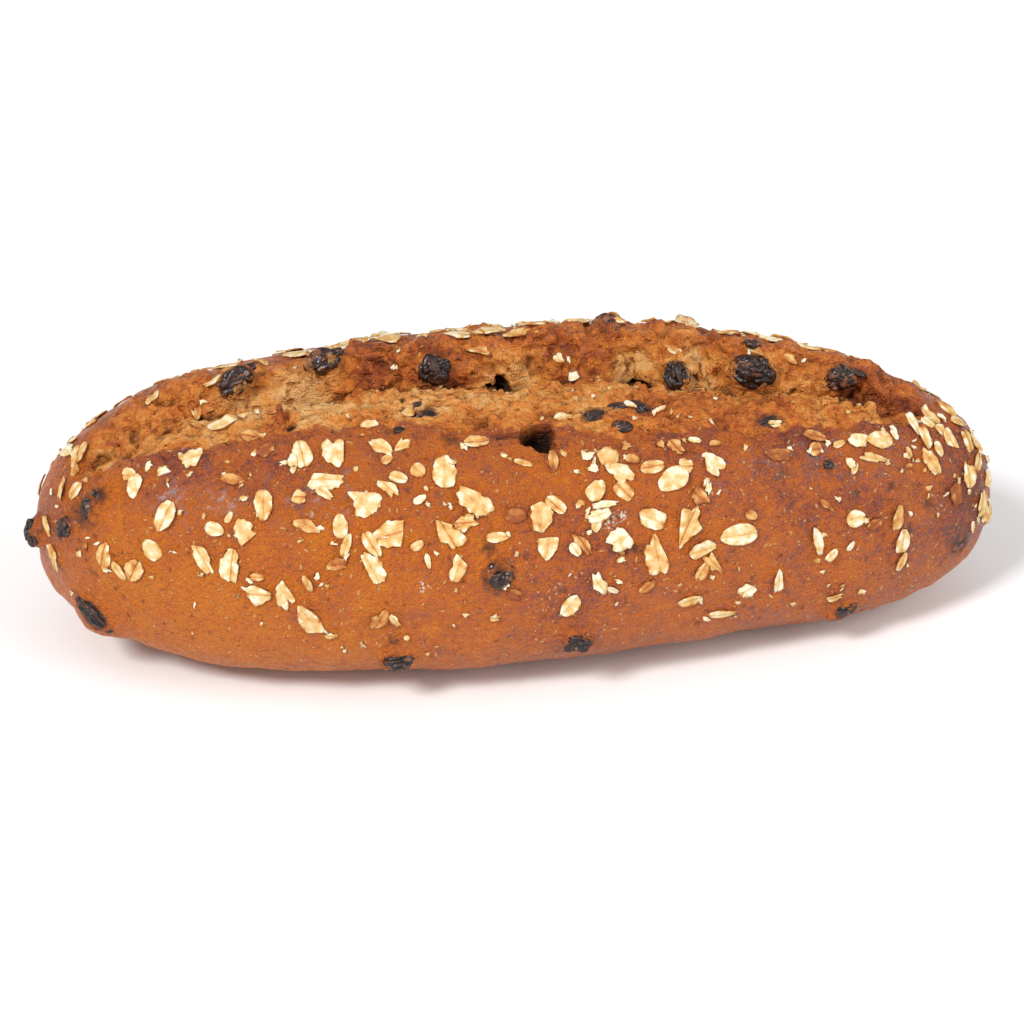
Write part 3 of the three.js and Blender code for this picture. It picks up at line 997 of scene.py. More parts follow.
def lay_flake(bm, seat, length, width, turn, toast, rng, columns=8, rows=6, thickness=0.38):
    """Adds one flake to bm. seat is what seat_on_dome gives."""
    centre, lengthwise, upward, outward = seat
    layers = bm.verts.layers.float
    toast_layer, crease_layer, rim_layer = layers["toast"], layers["crease"], layers["rim"]
    uv_layer = bm.loops.layers.uv["flake"]
    made = bmesh.ops.create_grid(bm, x_segments=columns, y_segments=rows, size=1)["verts"]
    offset = rng.uniform(0, 50)
    angle = math.radians(turn)
    long_way = lengthwise * math.cos(angle) + upward * math.sin(angle)
    wide_way = upward * math.cos(angle) - lengthwise * math.sin(angle)
    breaks, splits, fray, length, width = damage(length, width, rng)
    fold_turn, fold_from, fold_up = rng.uniform(*ANY_TURN), rng.uniform(0.05, 0.5), rng.uniform(0, 0.5) ** 2
    curl_up, curl_down = rng.choice([0, 0.1, 0.3, 0.6]), rng.choice([-0.1, 0, 0.2, 0.4])
    tilt_long, tilt_wide = rng.uniform(-0.07, 0.07), rng.uniform(-0.14, 0.14)
    # how strongly the finish paints shade into this flake's crease
    crease_shade_share = min(1, max(0, (width - 1.6) / 1.5)) * rng.choice([0.1, 0.5, 0.9])
    middle = crust_at(centre, outward)
    for vert in made:
        x, y = vert.co.x, vert.co.y
        px, py, rim = outline(x, y, breaks, splits, offset, fray)
        folded = max(0, px * math.cos(fold_turn) + py * math.sin(fold_turn) - fold_from)
        px, py = px * length / 2, py * width / 2
        spot = middle + long_way * px + wide_way * py
        drop = (crust_at(spot, outward) - spot) @ outward
        lie = min(max(drop, -MOST_SINK), MOST_RISE)
        stiff = tilt_long * px + tilt_wide * py
        crease = math.exp(-((y / CREASE_WIDTH) ** 2)) * (1 - 0.4 * abs(x))
        curl = (curl_up if y > 0 else curl_down) * y * y
        swell = 0.35 * (1 - y * y) * (1 - x * x) - 0.45 * crease + curl
        lift = 0.75 * lie + 0.25 * stiff + 0.15 + swell + fold_up * folded * length * 0.8
        vert.co = to_frame(spot + outward * lift)
        vert[toast_layer] = toast
        vert[crease_layer] = crease_shade_share
        vert[rim_layer] = rim**4
    faces = list(dict.fromkeys(face for vert in made for face in vert.link_faces))
    grown = bmesh.ops.extrude_face_region(bm, geom=faces, use_keep_orig=True)["geom"]
    top = [item for item in grown if isinstance(item, bmesh.types.BMVert)]
    bmesh.ops.translate(bm, verts=top, vec=Vector(outward) * thickness * MM)
    bmesh.ops.reverse_faces(bm, faces=faces)
    for face in dict.fromkeys(face for vert in made + top for face in vert.link_faces):
        face.smooth = True
        for loop in face.loops:
            offset_from = (np.array(loop.vert.co) - np.array(to_frame(middle))) / MM
            loop[uv_layer].uv = (offset_from @ long_way + offset, offset_from @ wide_way)


# %% Start and finish a mesh of flakes
def flake_bmesh():
    """An empty mesh with what the oat's finish reads: toast, crease, rim and a map of each flake."""
    bm = bmesh.new()
    for name in ("toast", "crease", "rim"):
        bm.verts.layers.float.new(name)
    bm.loops.layers.uv.new("flake")
    return bm


def finish_flakes(bm, name, nodes=()):
    """Flakes as an object of their own, riding with the loaf and standing for the nodes named."""
    bmesh.ops.recalc_face_normals(bm, faces=bm.faces)
    obj = object_from(bm, name)
    if nodes:
        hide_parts(*nodes)
    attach(obj, "root")
    return obj


# %% [markdown]
# ## The large flakes
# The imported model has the 36 largest flakes. Each real one takes its place, length, width and turn from
# there, and a finer grid than the small ones, because its rim is what the eye reads first.


# %% The large flakes, one for each in the frame
def turn_in(seat, direction):
    """Degrees that a direction is turned from the loaf's length, seen from outside."""
    _, lengthwise, upward, _ = seat
    return math.degrees(math.atan2(direction @ upward, direction @ lengthwise))


def seat_of(node):
    """A packed flake's place as a seat, with its length, width and turn."""
    centre, axes, halves = lie_of(node)
    outward = axes[:, 2]
    heart = np.array([centre[0] * 0.7, 0, BELLY])
    if outward @ (centre - heart) < 0:
        outward = -outward
    lengthwise = np.array([1.0, 0, 0]) - outward * outward[0]
    lengthwise /= np.linalg.norm(lengthwise)
    seat = (centre, lengthwise, np.cross(outward, lengthwise), outward)
    return seat, 2 * halves[0], 2 * halves[1], turn_in(seat, axes[:, 0])


LARGE_TOASTS = [0.1, 0.15, 0.2, 0.3, 0.35]
LARGE_COLUMNS = 14
LARGE_ROWS = 10
hand_rng = random.Random(11)
oat_pieces = []
for node in flake_nodes:
    seat, length, width, turn = seat_of(node)
    bm = flake_bmesh()
    toast = hand_rng.choice(LARGE_TOASTS)
    lay_flake(bm, seat, length, width, turn, toast, hand_rng, LARGE_COLUMNS, LARGE_ROWS)
    oat_pieces.append(finish_flakes(bm, node + "_rolled", [node]))
print("large flakes:", len(oat_pieces))

# %% [markdown]
# ## The smaller oats
# The oats were shaken on by hand, so they lie in drifts. The ones on the side that shows most are set one
# by one: place along, place round, length, width, turn in degrees, and how toasted. A toast of 0 is a
# floury white chip. Setting them one by one is slow, but it is the only way to keep the gaps that a real
# handful leaves.

# %% Oats set one by one
TATTERED = 0.4  # the share of them with a white tatter at one side
TATTER_GRID = (5, 4)  # columns and rows
THIN = 0.3  # millimetres
OATS = {
    "oats_left_end": [
        (-0.94, 62, 6, 2.4, 75, 0.3),
        (-0.91, 57, 5, 3, 50, 0.2),
        (-0.92, 76, 4, 2.2, 80, 0.5),
        (-0.97, 37, 5, 2, -75, 0.3),
        (-0.96, 15, 7, 2.8, -75, 0.4),
        (-0.79, 58, 3.4, 3, 0, 0.2),
        (-0.75, 61, 2.5, 1.6, 60, 0),
        (-0.72, 57, 3, 2, 0, 0),
        (-0.82, 16, 6, 2.4, -50, 0.3),
    ],
    "oats_left_shoulder": [
        (-0.62, 34, 5.2, 3.6, -20, 0.1),
        (-0.59, 38, 3.2, 1.6, 60, 0.2),
        (-0.58, 51, 6.4, 2.8, -15, 0.6),
        (-0.56, 44, 2.8, 1.4, 0, 0.1),
        (-0.54, 68, 6.4, 3.4, -20, 0.5),
        (-0.51, 61, 5, 3.2, 30, 0.9),
        (-0.54, 18, 4, 2, 0, 0.5),
        (-0.54, 12, 5.8, 5.2, 0, 0.1),
        (-0.46, 56, 4, 2.4, -60, 0),
        (-0.4, 45, 6, 2.4, -40, 0.1),
        (-0.45, 44, 3.8, 3.2, 0, 0.2),
        (-0.44, 35, 7, 3.2, -35, 0.5),
        (-0.44, 16, 5, 2.2, -70, 0.4),
        (-0.4, -1, 2.8, 1.6, 0, 0.3),
    ],
    "oats_front_left": [
        (-0.37, 34, 6.4, 3.8, 90, 0.2),
        (-0.36, 28, 6.4, 2.4, 70, 0.2),
        (-0.31, 28, 7.6, 3.6, -60, 0.2),
        (-0.27, 45, 6.4, 2.8, -45, 0.2),
        (-0.25, 48, 5, 2.8, -20, 0.1),
        (-0.28, 58, 6, 3.2, -35, 0.2),
        (-0.27, 54, 3.2, 2.4, 30, 0.5),
        (-0.24, 58, 4.2, 3.2, 20, 0.3),
        (-0.21, 50, 4, 3.8, -45, 0.4),
        (-0.21, 41, 3.8, 2, 30, 0),
        (-0.22, 27, 3.2, 2.4, 20, 0.3),
        (-0.2, 22, 4.2, 1.4, -80, 0.1),
        (-0.38, 22, 4.6, 3.2, 0, 0.7),
        (-0.3, 4, 6, 4, 60, 0.6),
        (-0.27, 4, 4.2, 1.8, -60, 0.2),
        (-0.3, 66, 4.2, 1.8, 10, 0.2),
        (-0.12, 33, 5.4, 3.4, 0, 0.3),
        (-0.09, 58, 6.6, 3.2, 0, 0.3),
        (-0.14, 20, 8, 3.6, 70, 0.2),
        (-0.06, 28, 6, 2.8, 0, 0.2),
        (-0.02, 34, 5.6, 3.8, 0, 0.9),
    ],
    "oats_front_middle": [
        (0.06, 36, 5.8, 3.4, -45, 0.2),
        (0.06, 50, 6, 2.4, 90, 0.6),
        (0.0, 50, 4.8, 1.8, -20, 0.4),
        (0.17, 50, 5.4, 4.6, 0, 0.3),
        (0.2, 38, 6.4, 3.4, -50, 0.3),
        (0.14, 40, 6.2, 4.6, 80, 0.2),
        (0.14, 46, 3, 2.2, 0, 0),
        (0.13, 50, 2.8, 2.4, 0, 0),
        (0.15, 32, 7, 3, 10, 0),
        (0.165, 35, 5.8, 2, 0, 0),
        (0.14, 29, 3.8, 2.6, 70, 0.1),
        (0.11, 24, 6.4, 2.8, -60, 0.5),
        (0.095, 22, 4, 2.6, -60, 0),
        (0.14, 11, 6.4, 3.4, -60, 0.05),
        (0.17, 8, 3.4, 1.8, -30, 0),
        (0.19, 24, 6.4, 4.8, 20, 0),
        (-0.03, 10, 4.6, 2.6, -30, 0.9),
        (-0.07, 3, 2.4, 2, 0, 0.3),
        (0.22, 48, 3.8, 2.6, -20, 0.6),
        (0.11, 36, 2.8, 1.6, 0, 0.5),
        (0.21, 53, 2.4, 1.8, 0, 0.5),
        (0.24, 8, 4.6, 2.2, 40, 0.7),
    ],
    "oats_front_right": [
        (0.26, 45, 6.6, 3.6, 5, 0.3),
        (0.325, 44, 4, 3.6, 0, 0.2),
        (0.31, 51, 4.8, 3, -50, 0.5),
        (0.35, 34, 5.8, 3.4, -40, 0.7),
        (0.36, 17, 7, 4.6, 10, 0.2),
        (0.38, 12, 6.4, 3, -50, 0.4),
        (0.355, 10, 5.4, 3, 60, 0.5),
        (0.46, 26, 3.4, 2.4, -30, 0.6),
        (0.52, 46, 6.2, 3.6, 0, 0.95),
        (0.35, 53, 3.4, 1.6, -20, 0.1),
        (0.33, 1, 6.4, 2.6, 5, 0.3),
        (0.4, -8, 7, 2.6, -3, 0.2),
        (0.52, 2, 6.2, 2.6, 85, 0.1),
        (0.39, 51, 3.2, 1.4, 0, 0.5),
        (0.28, 52, 2.4, 1.6, -70, 0.5),
        (0.6, 52, 6.4, 2.6, -15, 0.7),
        (0.6, 47, 3.8, 3.2, 0, 0.5),
        (0.65, 49, 4, 1.8, 20, 0.4),
        (0.69, 51, 5.4, 4.2, -20, 0.1),
        (0.72, 43, 6.4, 2.2, -10, 0.2),
        (0.68, 20, 5.4, 4.6, 0, 0.1),
        (0.72, 17, 4.2, 2.6, 30, 0.9),
        (0.77, 18, 7, 3.6, 80, 0.5),
        (0.78, 0, 5.4, 2.4, 60, 0.3),
        (0.6, 14, 7.4, 2.4, -75, 0),
        (0.63, 8, 4.2, 1.8, 40, 0.1),
        (0.62, 26, 6, 1.6, -35, 0.8),
        (0.64, -10, 4.2, 2.8, 0, 0.3),
        (0.454, 1, 5, 3.6, 20, 0),
        (0.67, 41, 3.2, 1.6, -50, 0.1),
        (0.68, 39, 3.2, 1.6, 60, 0.2),
        (0.67, 10, 3.2, 1.6, 50, 0),
        (0.77, 55, 3.8, 2, -60, 0),
        (0.8, 46, 3.2, 1.4, -60, 0.4),
    ],
    "oats_right_end": [
        (0.9, 25, 5.8, 3.8, -75, 0.95),
        (0.985, 0, 7, 3, -85, 0.3),
        (0.955, 17, 7, 3.2, -85, 0.25),
        (0.93, 36, 7, 3, -75, 0.2),
        (0.975, 37, 6, 3, -60, 0.2),
        (0.9, 58, 7, 3, -50, 0.2),
        (0.88, 65, 4, 2.4, -60, 0.2),
        (0.84, 55, 6.4, 3, -65, 0.2),
        (0.87, 50, 4.4, 2.6, -60, 0.2),
        (0.87, 76, 6, 3, -50, 0.3),
        (0.94, 3, 3.2, 1.6, -80, 0.1),
        (0.94, 64, 7, 3, -65, 0.3),
        (0.91, 92, 7, 3, -45, 0.4),
        (0.82, 62, 7, 2.6, -60, 0.05),
        (0.86, 68, 4, 2.4, -50, 0.1),
        (0.93, 84, 6, 3.4, 30, 0.3),
        (0.96, 72, 6, 3, -20, 0.2),
        (0.955, 50, 6, 3, 70, 0.25),
    ],
    "oats_in_the_tear": [
        (-0.6, 78, 7, 4.4, 10, 0.2),
        (-0.56, 92, 5.6, 3.6, 10, 0.15),
        (-0.61, 98, 6, 2.2, 20, 0.1),
        (-0.66, 94, 4.2, 2.2, 80, 0.5),
        (-0.74, 98, 6, 2, 45, 0.3),
        (-0.5, 80, 5, 2.2, 10, 0.7),
        (-0.22, 74, 4.8, 3, 80, 0.4),
        (-0.29, 92, 3, 1.8, 60, 0),
        (-0.24, 98, 2.4, 1.8, -40, 0),
        (-0.07, 101, 7.6, 4.2, -40, 0.5),
        (0.02, 104, 6.8, 3.6, 0, 0.4),
        (0.1, 98, 5.4, 2, -65, 0.1),
        (0.13, 96, 3.2, 1.8, 20, 0),
        (0.09, 67, 5.2, 2.8, 10, 0.2),
        (0.23, 70, 4, 1.8, -40, 0),
        (0.29, 67, 4, 1.4, 35, 0.1),
        (0.34, 99, 7.4, 2.4, -55, 0.3),
        (0.51, 94, 4, 2, -40, 0.5),
        (0.52, 58, 4.6, 1.8, 0, 0.2),
        (0.58, 95, 5.4, 2, -40, 0.4),
    ],
}


def lay_by_hand(name, rows, rng):
    """One drift of listed oats as a mesh, some with a white tatter beside them."""
    bm = flake_bmesh()
    for place, round_degrees, length, width, turn, toast in rows:
        seat = seat_on_dome(place, round_degrees)
        lay_flake(bm, seat, length, width, turn, toast, rng)
        if rng.random() < TATTERED:
            beside = place + rng.choice([-0.5, 0.5]) * length / HALF_LENGTH
            seat = seat_on_dome(max(-0.99, min(0.99, beside)), round_degrees + rng.uniform(-3, 3))
            tatter_length, tatter_width = rng.uniform(1.4, 2.8), rng.uniform(0.7, 1.4)
            lay_flake(bm, seat, tatter_length, tatter_width, rng.uniform(-90, 90), 0, rng, *TATTER_GRID, THIN)
    return finish_flakes(bm, name)


for name, rows in OATS.items():
    oat_pieces.append(lay_by_hand(name, rows, hand_rng))
print("hand-set oats:", sum(len(rows) for rows in OATS.values()))

# %% [markdown]
# ## Drifts and crumbs
# Hundreds of crumbs and the oats on the sides that show least follow the same habit without being set one
# by one. Each drift draws from a seed of its own, so adding one never moves another. Crumbs are only three
# faces by two, because there are so many.

# %% Drifts and crumbs of oat from a seed
# name, how many, (along from, to), (round from, to), (shortest, longest)
DRIFTS = [
    ("oats_ridge", 46, (-0.6, 0.85), (105, 118), (5, 9.5)),
    ("oats_back", 110, (-0.93, 0.93), (116, 200), (4, 9.5)),
    ("oats_back_right", 26, (0.55, 0.97), (106, 170), (4, 8.5)),
    ("oats_left_tip", 10, (-0.99, -0.9), (95, 190), (4, 8)),
    ("oat_crumbs_front", 120, (-0.95, 0.97), (-12, 64), (0.9, 2.2)),
    ("oat_crumbs_tear", 40, (-0.6, 0.8), (62, 112), (0.8, 2)),
    ("oat_crumbs_back", 90, (-0.95, 0.95), (110, 195), (0.9, 2.2)),
]
DRIFT_TOASTS = [0, 0.1, 0.2, 0.2, 0.3, 0.4, 0.5, 0.7]
CRUMB = 2.5  # millimetres: anything shorter is a crumb


def scatter(name, count, alongs, rounds, sizes):
    """One drift as a mesh."""
    rng = random.Random(name)
    bm = flake_bmesh()
    for _ in range(count):
        place, round_degrees = rng.uniform(*alongs), rng.uniform(*rounds)
        length = rng.uniform(*sizes)
        width = length * rng.uniform(0.4, 0.75)
        toast = rng.choice(DRIFT_TOASTS)
        columns, rows, thickness = (3, 2, THIN) if length < CRUMB else (7, 5, 0.4)
        seat = seat_on_dome(place, round_degrees)
        lay_flake(bm, seat, length, width, rng.uniform(-90, 90), toast, rng, columns, rows, thickness)
    return finish_flakes(bm, name)


for drift in DRIFTS:
    oat_pieces.append(scatter(*drift))
print("scattered oats:", sum(drift[1] for drift in DRIFTS))

# %% [markdown]
# ## Node helpers and shared effects
# A material is a small graph. These helpers add a node with its settings and wire values by name, so that
# each finish below reads as a list of what it is made of. Two effects are used by more than one finish: a
# soft mottle, and fine specks. Each is a node group with named sockets.


# %% Helpers for building node trees
class Graph:
    """Adds and wires nodes in one tree, left to right."""

    def __init__(self, tree):
        self.tree = tree
        self.column = 0

    def add(self, kind, settings=None, **inputs):
        """A new node. Spaces in a socket's name are written as underscores."""
        node = self.tree.nodes.new(kind)
        node.location = (self.column * 180, -60 * (self.column % 4))
        self.column += 1
        for name, value in (settings or {}).items():
            setattr(node, name, value)
        for name, value in inputs.items():
            self.feed(node, name.replace("_", " "), value)
        return node

    def feed(self, node, name, value):
        """Wires value to a socket where it is one, and sets it where it is a number or a colour."""
        socket = node.inputs[int(name)] if name.isdigit() else node.inputs[name]
        if isinstance(value, bpy.types.NodeSocket):
            self.tree.links.new(value, socket)
        else:
            socket.default_value = value

    def math(self, operation, a, b=0.0, clamp=False):
        node = self.add("ShaderNodeMath", {"operation": operation, "use_clamp": clamp})
        self.feed(node, "0", a)
        self.feed(node, "1", b)
        return node.outputs[0]

    def plus(self, a, b, clamp=False):
        return self.math("ADD", a, b, clamp)

    def minus(self, a, b):
        return self.math("SUBTRACT", a, b)

    def times(self, a, b):
        return self.math("MULTIPLY", a, b)

    def mix(self, factor, a, b):
        """Between the colours a and b. The node's colour sockets come after its float and vector ones."""
        node = self.add("ShaderNodeMix", {"data_type": "RGBA"})
        for index, value in ((0, factor), (6, a), (7, b)):
            self.feed(node, str(index), value)
        return node.outputs[2]

    def ramp(self, value, stops):
        node = self.add("ShaderNodeValToRGB")
        elements = node.color_ramp.elements
        while len(elements) < len(stops):
            elements.new(0.5)
        for element, (place, colour) in zip(elements, stops):
            element.position = place
            element.color = (*colour, 1)
        self.feed(node, "Fac", value)
        return node.outputs["Color"]

    def attribute(self, name):
        return self.add("ShaderNodeAttribute", {"attribute_name": name}).outputs["Fac"]

    def range(self, value, start, end, low=0.0, high=1.0):
        """low at start and high at end, with an S between them."""
        node = self.add("ShaderNodeMapRange", {"interpolation_type": "SMOOTHSTEP"})
        for index, number in ((0, value), (1, start), (2, end), (3, low), (4, high)):
            self.feed(node, str(index), number)
        return node.outputs[0]


def grey(value):
    """An even grey as a colour."""
    return (value, value, value, 1)


# %% Shared effects
WHOLE_TURN = 6.283


def new_group(name, inputs, outputs):
    """A shader node group with float inputs (name, default), and its graph, its input and its output node."""
    tree = bpy.data.node_groups.new(name, "ShaderNodeTree")
    tree.interface.new_socket("Vector", in_out="INPUT", socket_type="NodeSocketVector")
    for socket, default in inputs:
        made = tree.interface.new_socket(socket, in_out="INPUT", socket_type="NodeSocketFloat")
        made.default_value = default
    for socket in outputs:
        tree.interface.new_socket(socket, in_out="OUTPUT", socket_type="NodeSocketFloat")
    graph = Graph(tree)
    return tree, graph, graph.add("NodeGroupInput").outputs, graph.add("NodeGroupOutput")


def mottle_group():
    """Soft cloudy variation at one size, with a finer one over it."""
    tree, graph, given, out = new_group("soft_mottle", [("Scale", 100), ("Contrast", 1)], ["Value"])
    cloud = graph.add("ShaderNodeTexNoise", Vector=given["Vector"], Scale=given["Scale"], Detail=5.0)
    centred = graph.minus(cloud.outputs["Fac"], 0.5)
    stronger = graph.times(centred, given["Contrast"])
    graph.feed(out, "Value", graph.plus(stronger, 0.5, clamp=True))
    return tree


def speck_group():
    """Specks drawn out in directions of their own, one in each cell that a random draw picks."""
    inputs = [("Scale", 500), ("Size", 0.3), ("Length", 1), ("Share", 0.3)]
    tree, graph, given, out = new_group("fine_specks", inputs, ["Mask"])
    cells = graph.add("ShaderNodeTexVoronoi", Vector=given["Vector"], Scale=given["Scale"])
    draw = graph.add("ShaderNodeSeparateColor", Color=cells.outputs["Color"])
    picked = graph.math("LESS_THAN", draw.outputs[0], given["Share"])
    from_middle = graph.add("ShaderNodeVectorMath", {"operation": "SUBTRACT"})
    graph.feed(from_middle, "0", given["Vector"])
    graph.feed(from_middle, "1", cells.outputs["Position"])
    by_angles = {"rotation_type": "EULER_XYZ"}
    turned = graph.add("ShaderNodeVectorRotate", by_angles, Vector=from_middle.outputs[0])
    whole_turn = graph.add("ShaderNodeVectorMath", {"operation": "SCALE"}, Scale=WHOLE_TURN)
    graph.feed(whole_turn, "0", cells.outputs["Color"])
    graph.feed(turned, "Rotation", whole_turn.outputs[0])
    parts = graph.add("ShaderNodeSeparateXYZ", Vector=turned.outputs[0])
    shorter = graph.math("DIVIDE", parts.outputs["X"], given["Length"])
    squeezed = graph.add("ShaderNodeCombineXYZ", X=shorter, Y=parts.outputs["Y"], Z=parts.outputs["Z"])
    distance = graph.add("ShaderNodeVectorMath", {"operation": "LENGTH"})
    graph.feed(distance, "0", squeezed.outputs[0])
    in_cells = graph.times(distance.outputs["Value"], given["Scale"])
    own_size = graph.times(graph.plus(draw.outputs[1], 0.3), given["Size"])
    near = graph.math("DIVIDE", in_cells, own_size)
    graph.feed(out, "Mask", graph.times(graph.range(near, 1.1, 0.5), picked))
    return tree


MOTTLE = mottle_group()
SPECKS = speck_group()
print("shared effects:", MOTTLE.name, SPECKS.name)


# %% Place an effect and start a material
def place_group(graph, tree, vector, **inputs):
    """A shared effect in a material, with values of its own, read at vector."""
    node = graph.add("ShaderNodeGroup", {"node_tree": tree})
    graph.feed(node, "Vector", vector)
    for name, value in inputs.items():
        graph.feed(node, name, value)
    return node.outputs[0]


def new_material(name, roughness, **constants):
    """A material with a Principled BSDF. Constants go straight onto the shader's own sockets."""
    material = bpy.data.materials.new(name)
    material.use_nodes = True
    graph = Graph(material.node_tree)
    shader = material.node_tree.nodes["Principled BSDF"]
    shader.inputs["Roughness"].default_value = roughness
    for socket, value in constants.items():
        shader.inputs[socket.replace("_", " ")].default_value = value
    return material, graph, shader


# %% [markdown]
# ## The dough's finish
# Crust browns from gold through chestnut to a purplish brown. The stored `bake` share picks the place on
# that scale, and mottle keeps it from being even. Bran shows as tiny pale flecks, which also stand in for
# small painted highlights, with a few dark ones.
# Where the `crumb` share is high the colour is that of the torn inside: pale ochre, toasted orange where it
# stood proud.

# %% Mottle at four sizes
CRUST_SHINE = {"Specular_IOR_Level": 0.32, "Coat_Roughness": 0.32}
dough_material, graph, shader = new_material("baked_dough", 0.5, **CRUST_SHINE)
where = graph.add("ShaderNodeTexCoord").outputs["Object"]
broad = place_group(graph, MOTTLE, where, Scale=50.0, Contrast=1.4)
patch = place_group(graph, MOTTLE, where, Scale=170.0, Contrast=1.7)
fine = place_group(graph, MOTTLE, where, Scale=650.0, Contrast=2.2)
grain = place_group(graph, MOTTLE, where, Scale=1900.0, Contrast=2.4)


def around(graph, value, amount):
    """A 0 to 1 value turned into an offset of up to amount / 2 either way."""
    return graph.times(graph.minus(value, 0.5), amount)


# %% Crust colour
PALE_BRAN_AND_GLINT = (0.86, 0.43, 0.15, 1)
PALE_FIBRE = (0.75, 0.33, 0.07, 1)
DARK_CHAR = (0.12, 0.022, 0.008, 1)
baked = graph.plus(graph.attribute("bake"), around(graph, broad, 0.5))
baked = graph.plus(baked, around(graph, patch, 0.6))
baked = graph.plus(baked, around(graph, fine, 0.5))
baked = graph.plus(baked, around(graph, grain, 0.4), clamp=True)
crust = graph.ramp(
    baked,
    [
        (0.0, (0.68, 0.186, 0.016)),
        (0.25, (0.61, 0.146, 0.019)),
        (0.5, (0.53, 0.13, 0.025)),
        (0.75, (0.37, 0.078, 0.026)),
        (1.0, (0.18, 0.036, 0.02)),
    ],
)
# pale bran flecks, also standing in for small painted highlights on the glossy crust
bran_and_glints = place_group(graph, SPECKS, where, Scale=560.0, Size=0.19, Length=2.6, Share=0.8)
crust = graph.mix(graph.times(bran_and_glints, 0.8), crust, PALE_BRAN_AND_GLINT)
fibres = place_group(graph, SPECKS, where, Scale=330.0, Size=0.07, Length=9.0, Share=0.7)
crust = graph.mix(graph.times(fibres, 0.6), crust, PALE_FIBRE)
char = place_group(graph, SPECKS, where, Scale=420.0, Size=0.26, Length=1.8, Share=0.45)
char = graph.times(char, graph.range(patch, 0.35, 0.65))
crust = graph.mix(graph.times(char, 0.5), crust, DARK_CHAR)
print("crust nodes:", len(dough_material.node_tree.nodes))

# %% [markdown]
# ## The crumb's finish
# Torn crumb is a mesh of thin walls that were drawn out along the tear, so every pattern on it is stretched
# along the loaf by one Mapping node. Its colour runs from pale ochre to a dark toast, and small pores and
# pale strings break it up.

# %% Crumb colour
PORE_SHADE = (0.3, 0.075, 0.012, 1)
PALE_STRING = (0.88, 0.55, 0.22, 1)
drawn = graph.add("ShaderNodeMapping", Vector=where, Scale=(0.5, 1.0, 1.0)).outputs["Vector"]
smears = place_group(graph, MOTTLE, drawn, Scale=260.0, Contrast=2.0)
strands = place_group(graph, MOTTLE, drawn, Scale=1000.0, Contrast=2.4)
crumb_tone = graph.plus(graph.attribute("toast"), around(graph, smears, 0.5))
crumb_tone = graph.plus(crumb_tone, around(graph, fine, 0.3))
wall = graph.attribute("wall")
stringy = graph.minus(0.26, graph.times(wall, 0.2))
crumb_tone = graph.plus(crumb_tone, around(graph, strands, stringy))
crumb_tone = graph.plus(crumb_tone, around(graph, grain, 0.2), clamp=True)
crumb = graph.ramp(
    crumb_tone,
    [
        (0.0, (0.84, 0.46, 0.17)),
        (0.25, (0.74, 0.3, 0.065)),
        (0.5, (0.64, 0.19, 0.027)),
        (0.75, (0.45, 0.105, 0.017)),
        (1.0, (0.19, 0.038, 0.013)),
    ],
)
crumb_pores = place_group(graph, SPECKS, drawn, Scale=480.0, Size=0.32, Length=2.5, Share=0.4)
crumb = graph.mix(graph.times(crumb_pores, 0.55), crumb, PORE_SHADE)
crumb = graph.mix(graph.times(fibres, 0.6), crumb, PALE_STRING)
print("nodes so far:", len(dough_material.node_tree.nodes))

# %% [markdown]
# ## Where crust meets crumb
# The two colours meet along a broken line, because mottle is added to the `crumb` share before it is cut
# off sharply. Fruit stains, painted shade in the hollows and loose flour go over both.

# %% Join crust and crumb, and lay stains, painted shade and flour over them
FRUIT_STAIN = (0.085, 0.032, 0.018, 1)
DEEP_SHADE = (0.026, 0.009, 0.003, 1)
LOOSE_FLOUR = (0.9, 0.8, 0.64, 1)
torn_edge = graph.plus(graph.attribute("crumb"), around(graph, patch, 0.4))
torn_share = graph.range(graph.plus(torn_edge, around(graph, fine, 0.4)), 0.3, 0.65)
colour = graph.mix(torn_share, crust, crumb)
stain_edge = graph.plus(graph.attribute("stain"), around(graph, fine, 0.5))
colour = graph.mix(graph.range(stain_edge, 0.1, 0.85, 0.0, 0.85), colour, FRUIT_STAIN)
# painted shade: holes, the crevice and creases are darkened towards DEEP_SHADE
shade_strength = graph.times(graph.attribute("hollow"), 0.96)
colour = graph.mix(shade_strength, colour, DEEP_SHADE)
flour_dots = place_group(graph, SPECKS, where, Scale=1500.0, Size=0.7, Length=1.4, Share=0.75)
dusty = graph.times(graph.range(graph.attribute("flour"), 0.2, 0.6, 0.0, 0.85), flour_dots)
colour = graph.mix(dusty, colour, LOOSE_FLOUR)
graph.feed(shader, "Base Color", colour)
print("nodes so far:", len(dough_material.node_tree.nodes))

# %% [markdown]
# ## The dough's gloss and grain
# Starch on well baked crust sets to a thin glaze, so a coat follows the `bake` share, and the torn crumb
# has none. Grain comes from one bump that adds what each pattern above would do in relief.

# %% Gloss
gloss = graph.range(fine, 0.2, 0.8, 0.3, 0.5)
dull = graph.times(torn_share, graph.minus(0.25, graph.times(wall, 0.27)))
graph.feed(shader, "Roughness", graph.plus(dull, gloss))
glaze = graph.times(graph.range(baked, 0.3, 0.85, 0.0, 0.6), graph.range(patch, 0.25, 0.7, 0.35, 1.0))
glaze = graph.times(glaze, graph.range(fine, 0.35, 0.7, 0.1, 1.0))
crumb_only = graph.times(torn_share, graph.minus(1.0, graph.times(wall, 0.6)))
graph.feed(shader, "Coat Weight", graph.times(glaze, graph.minus(1.0, crumb_only)))

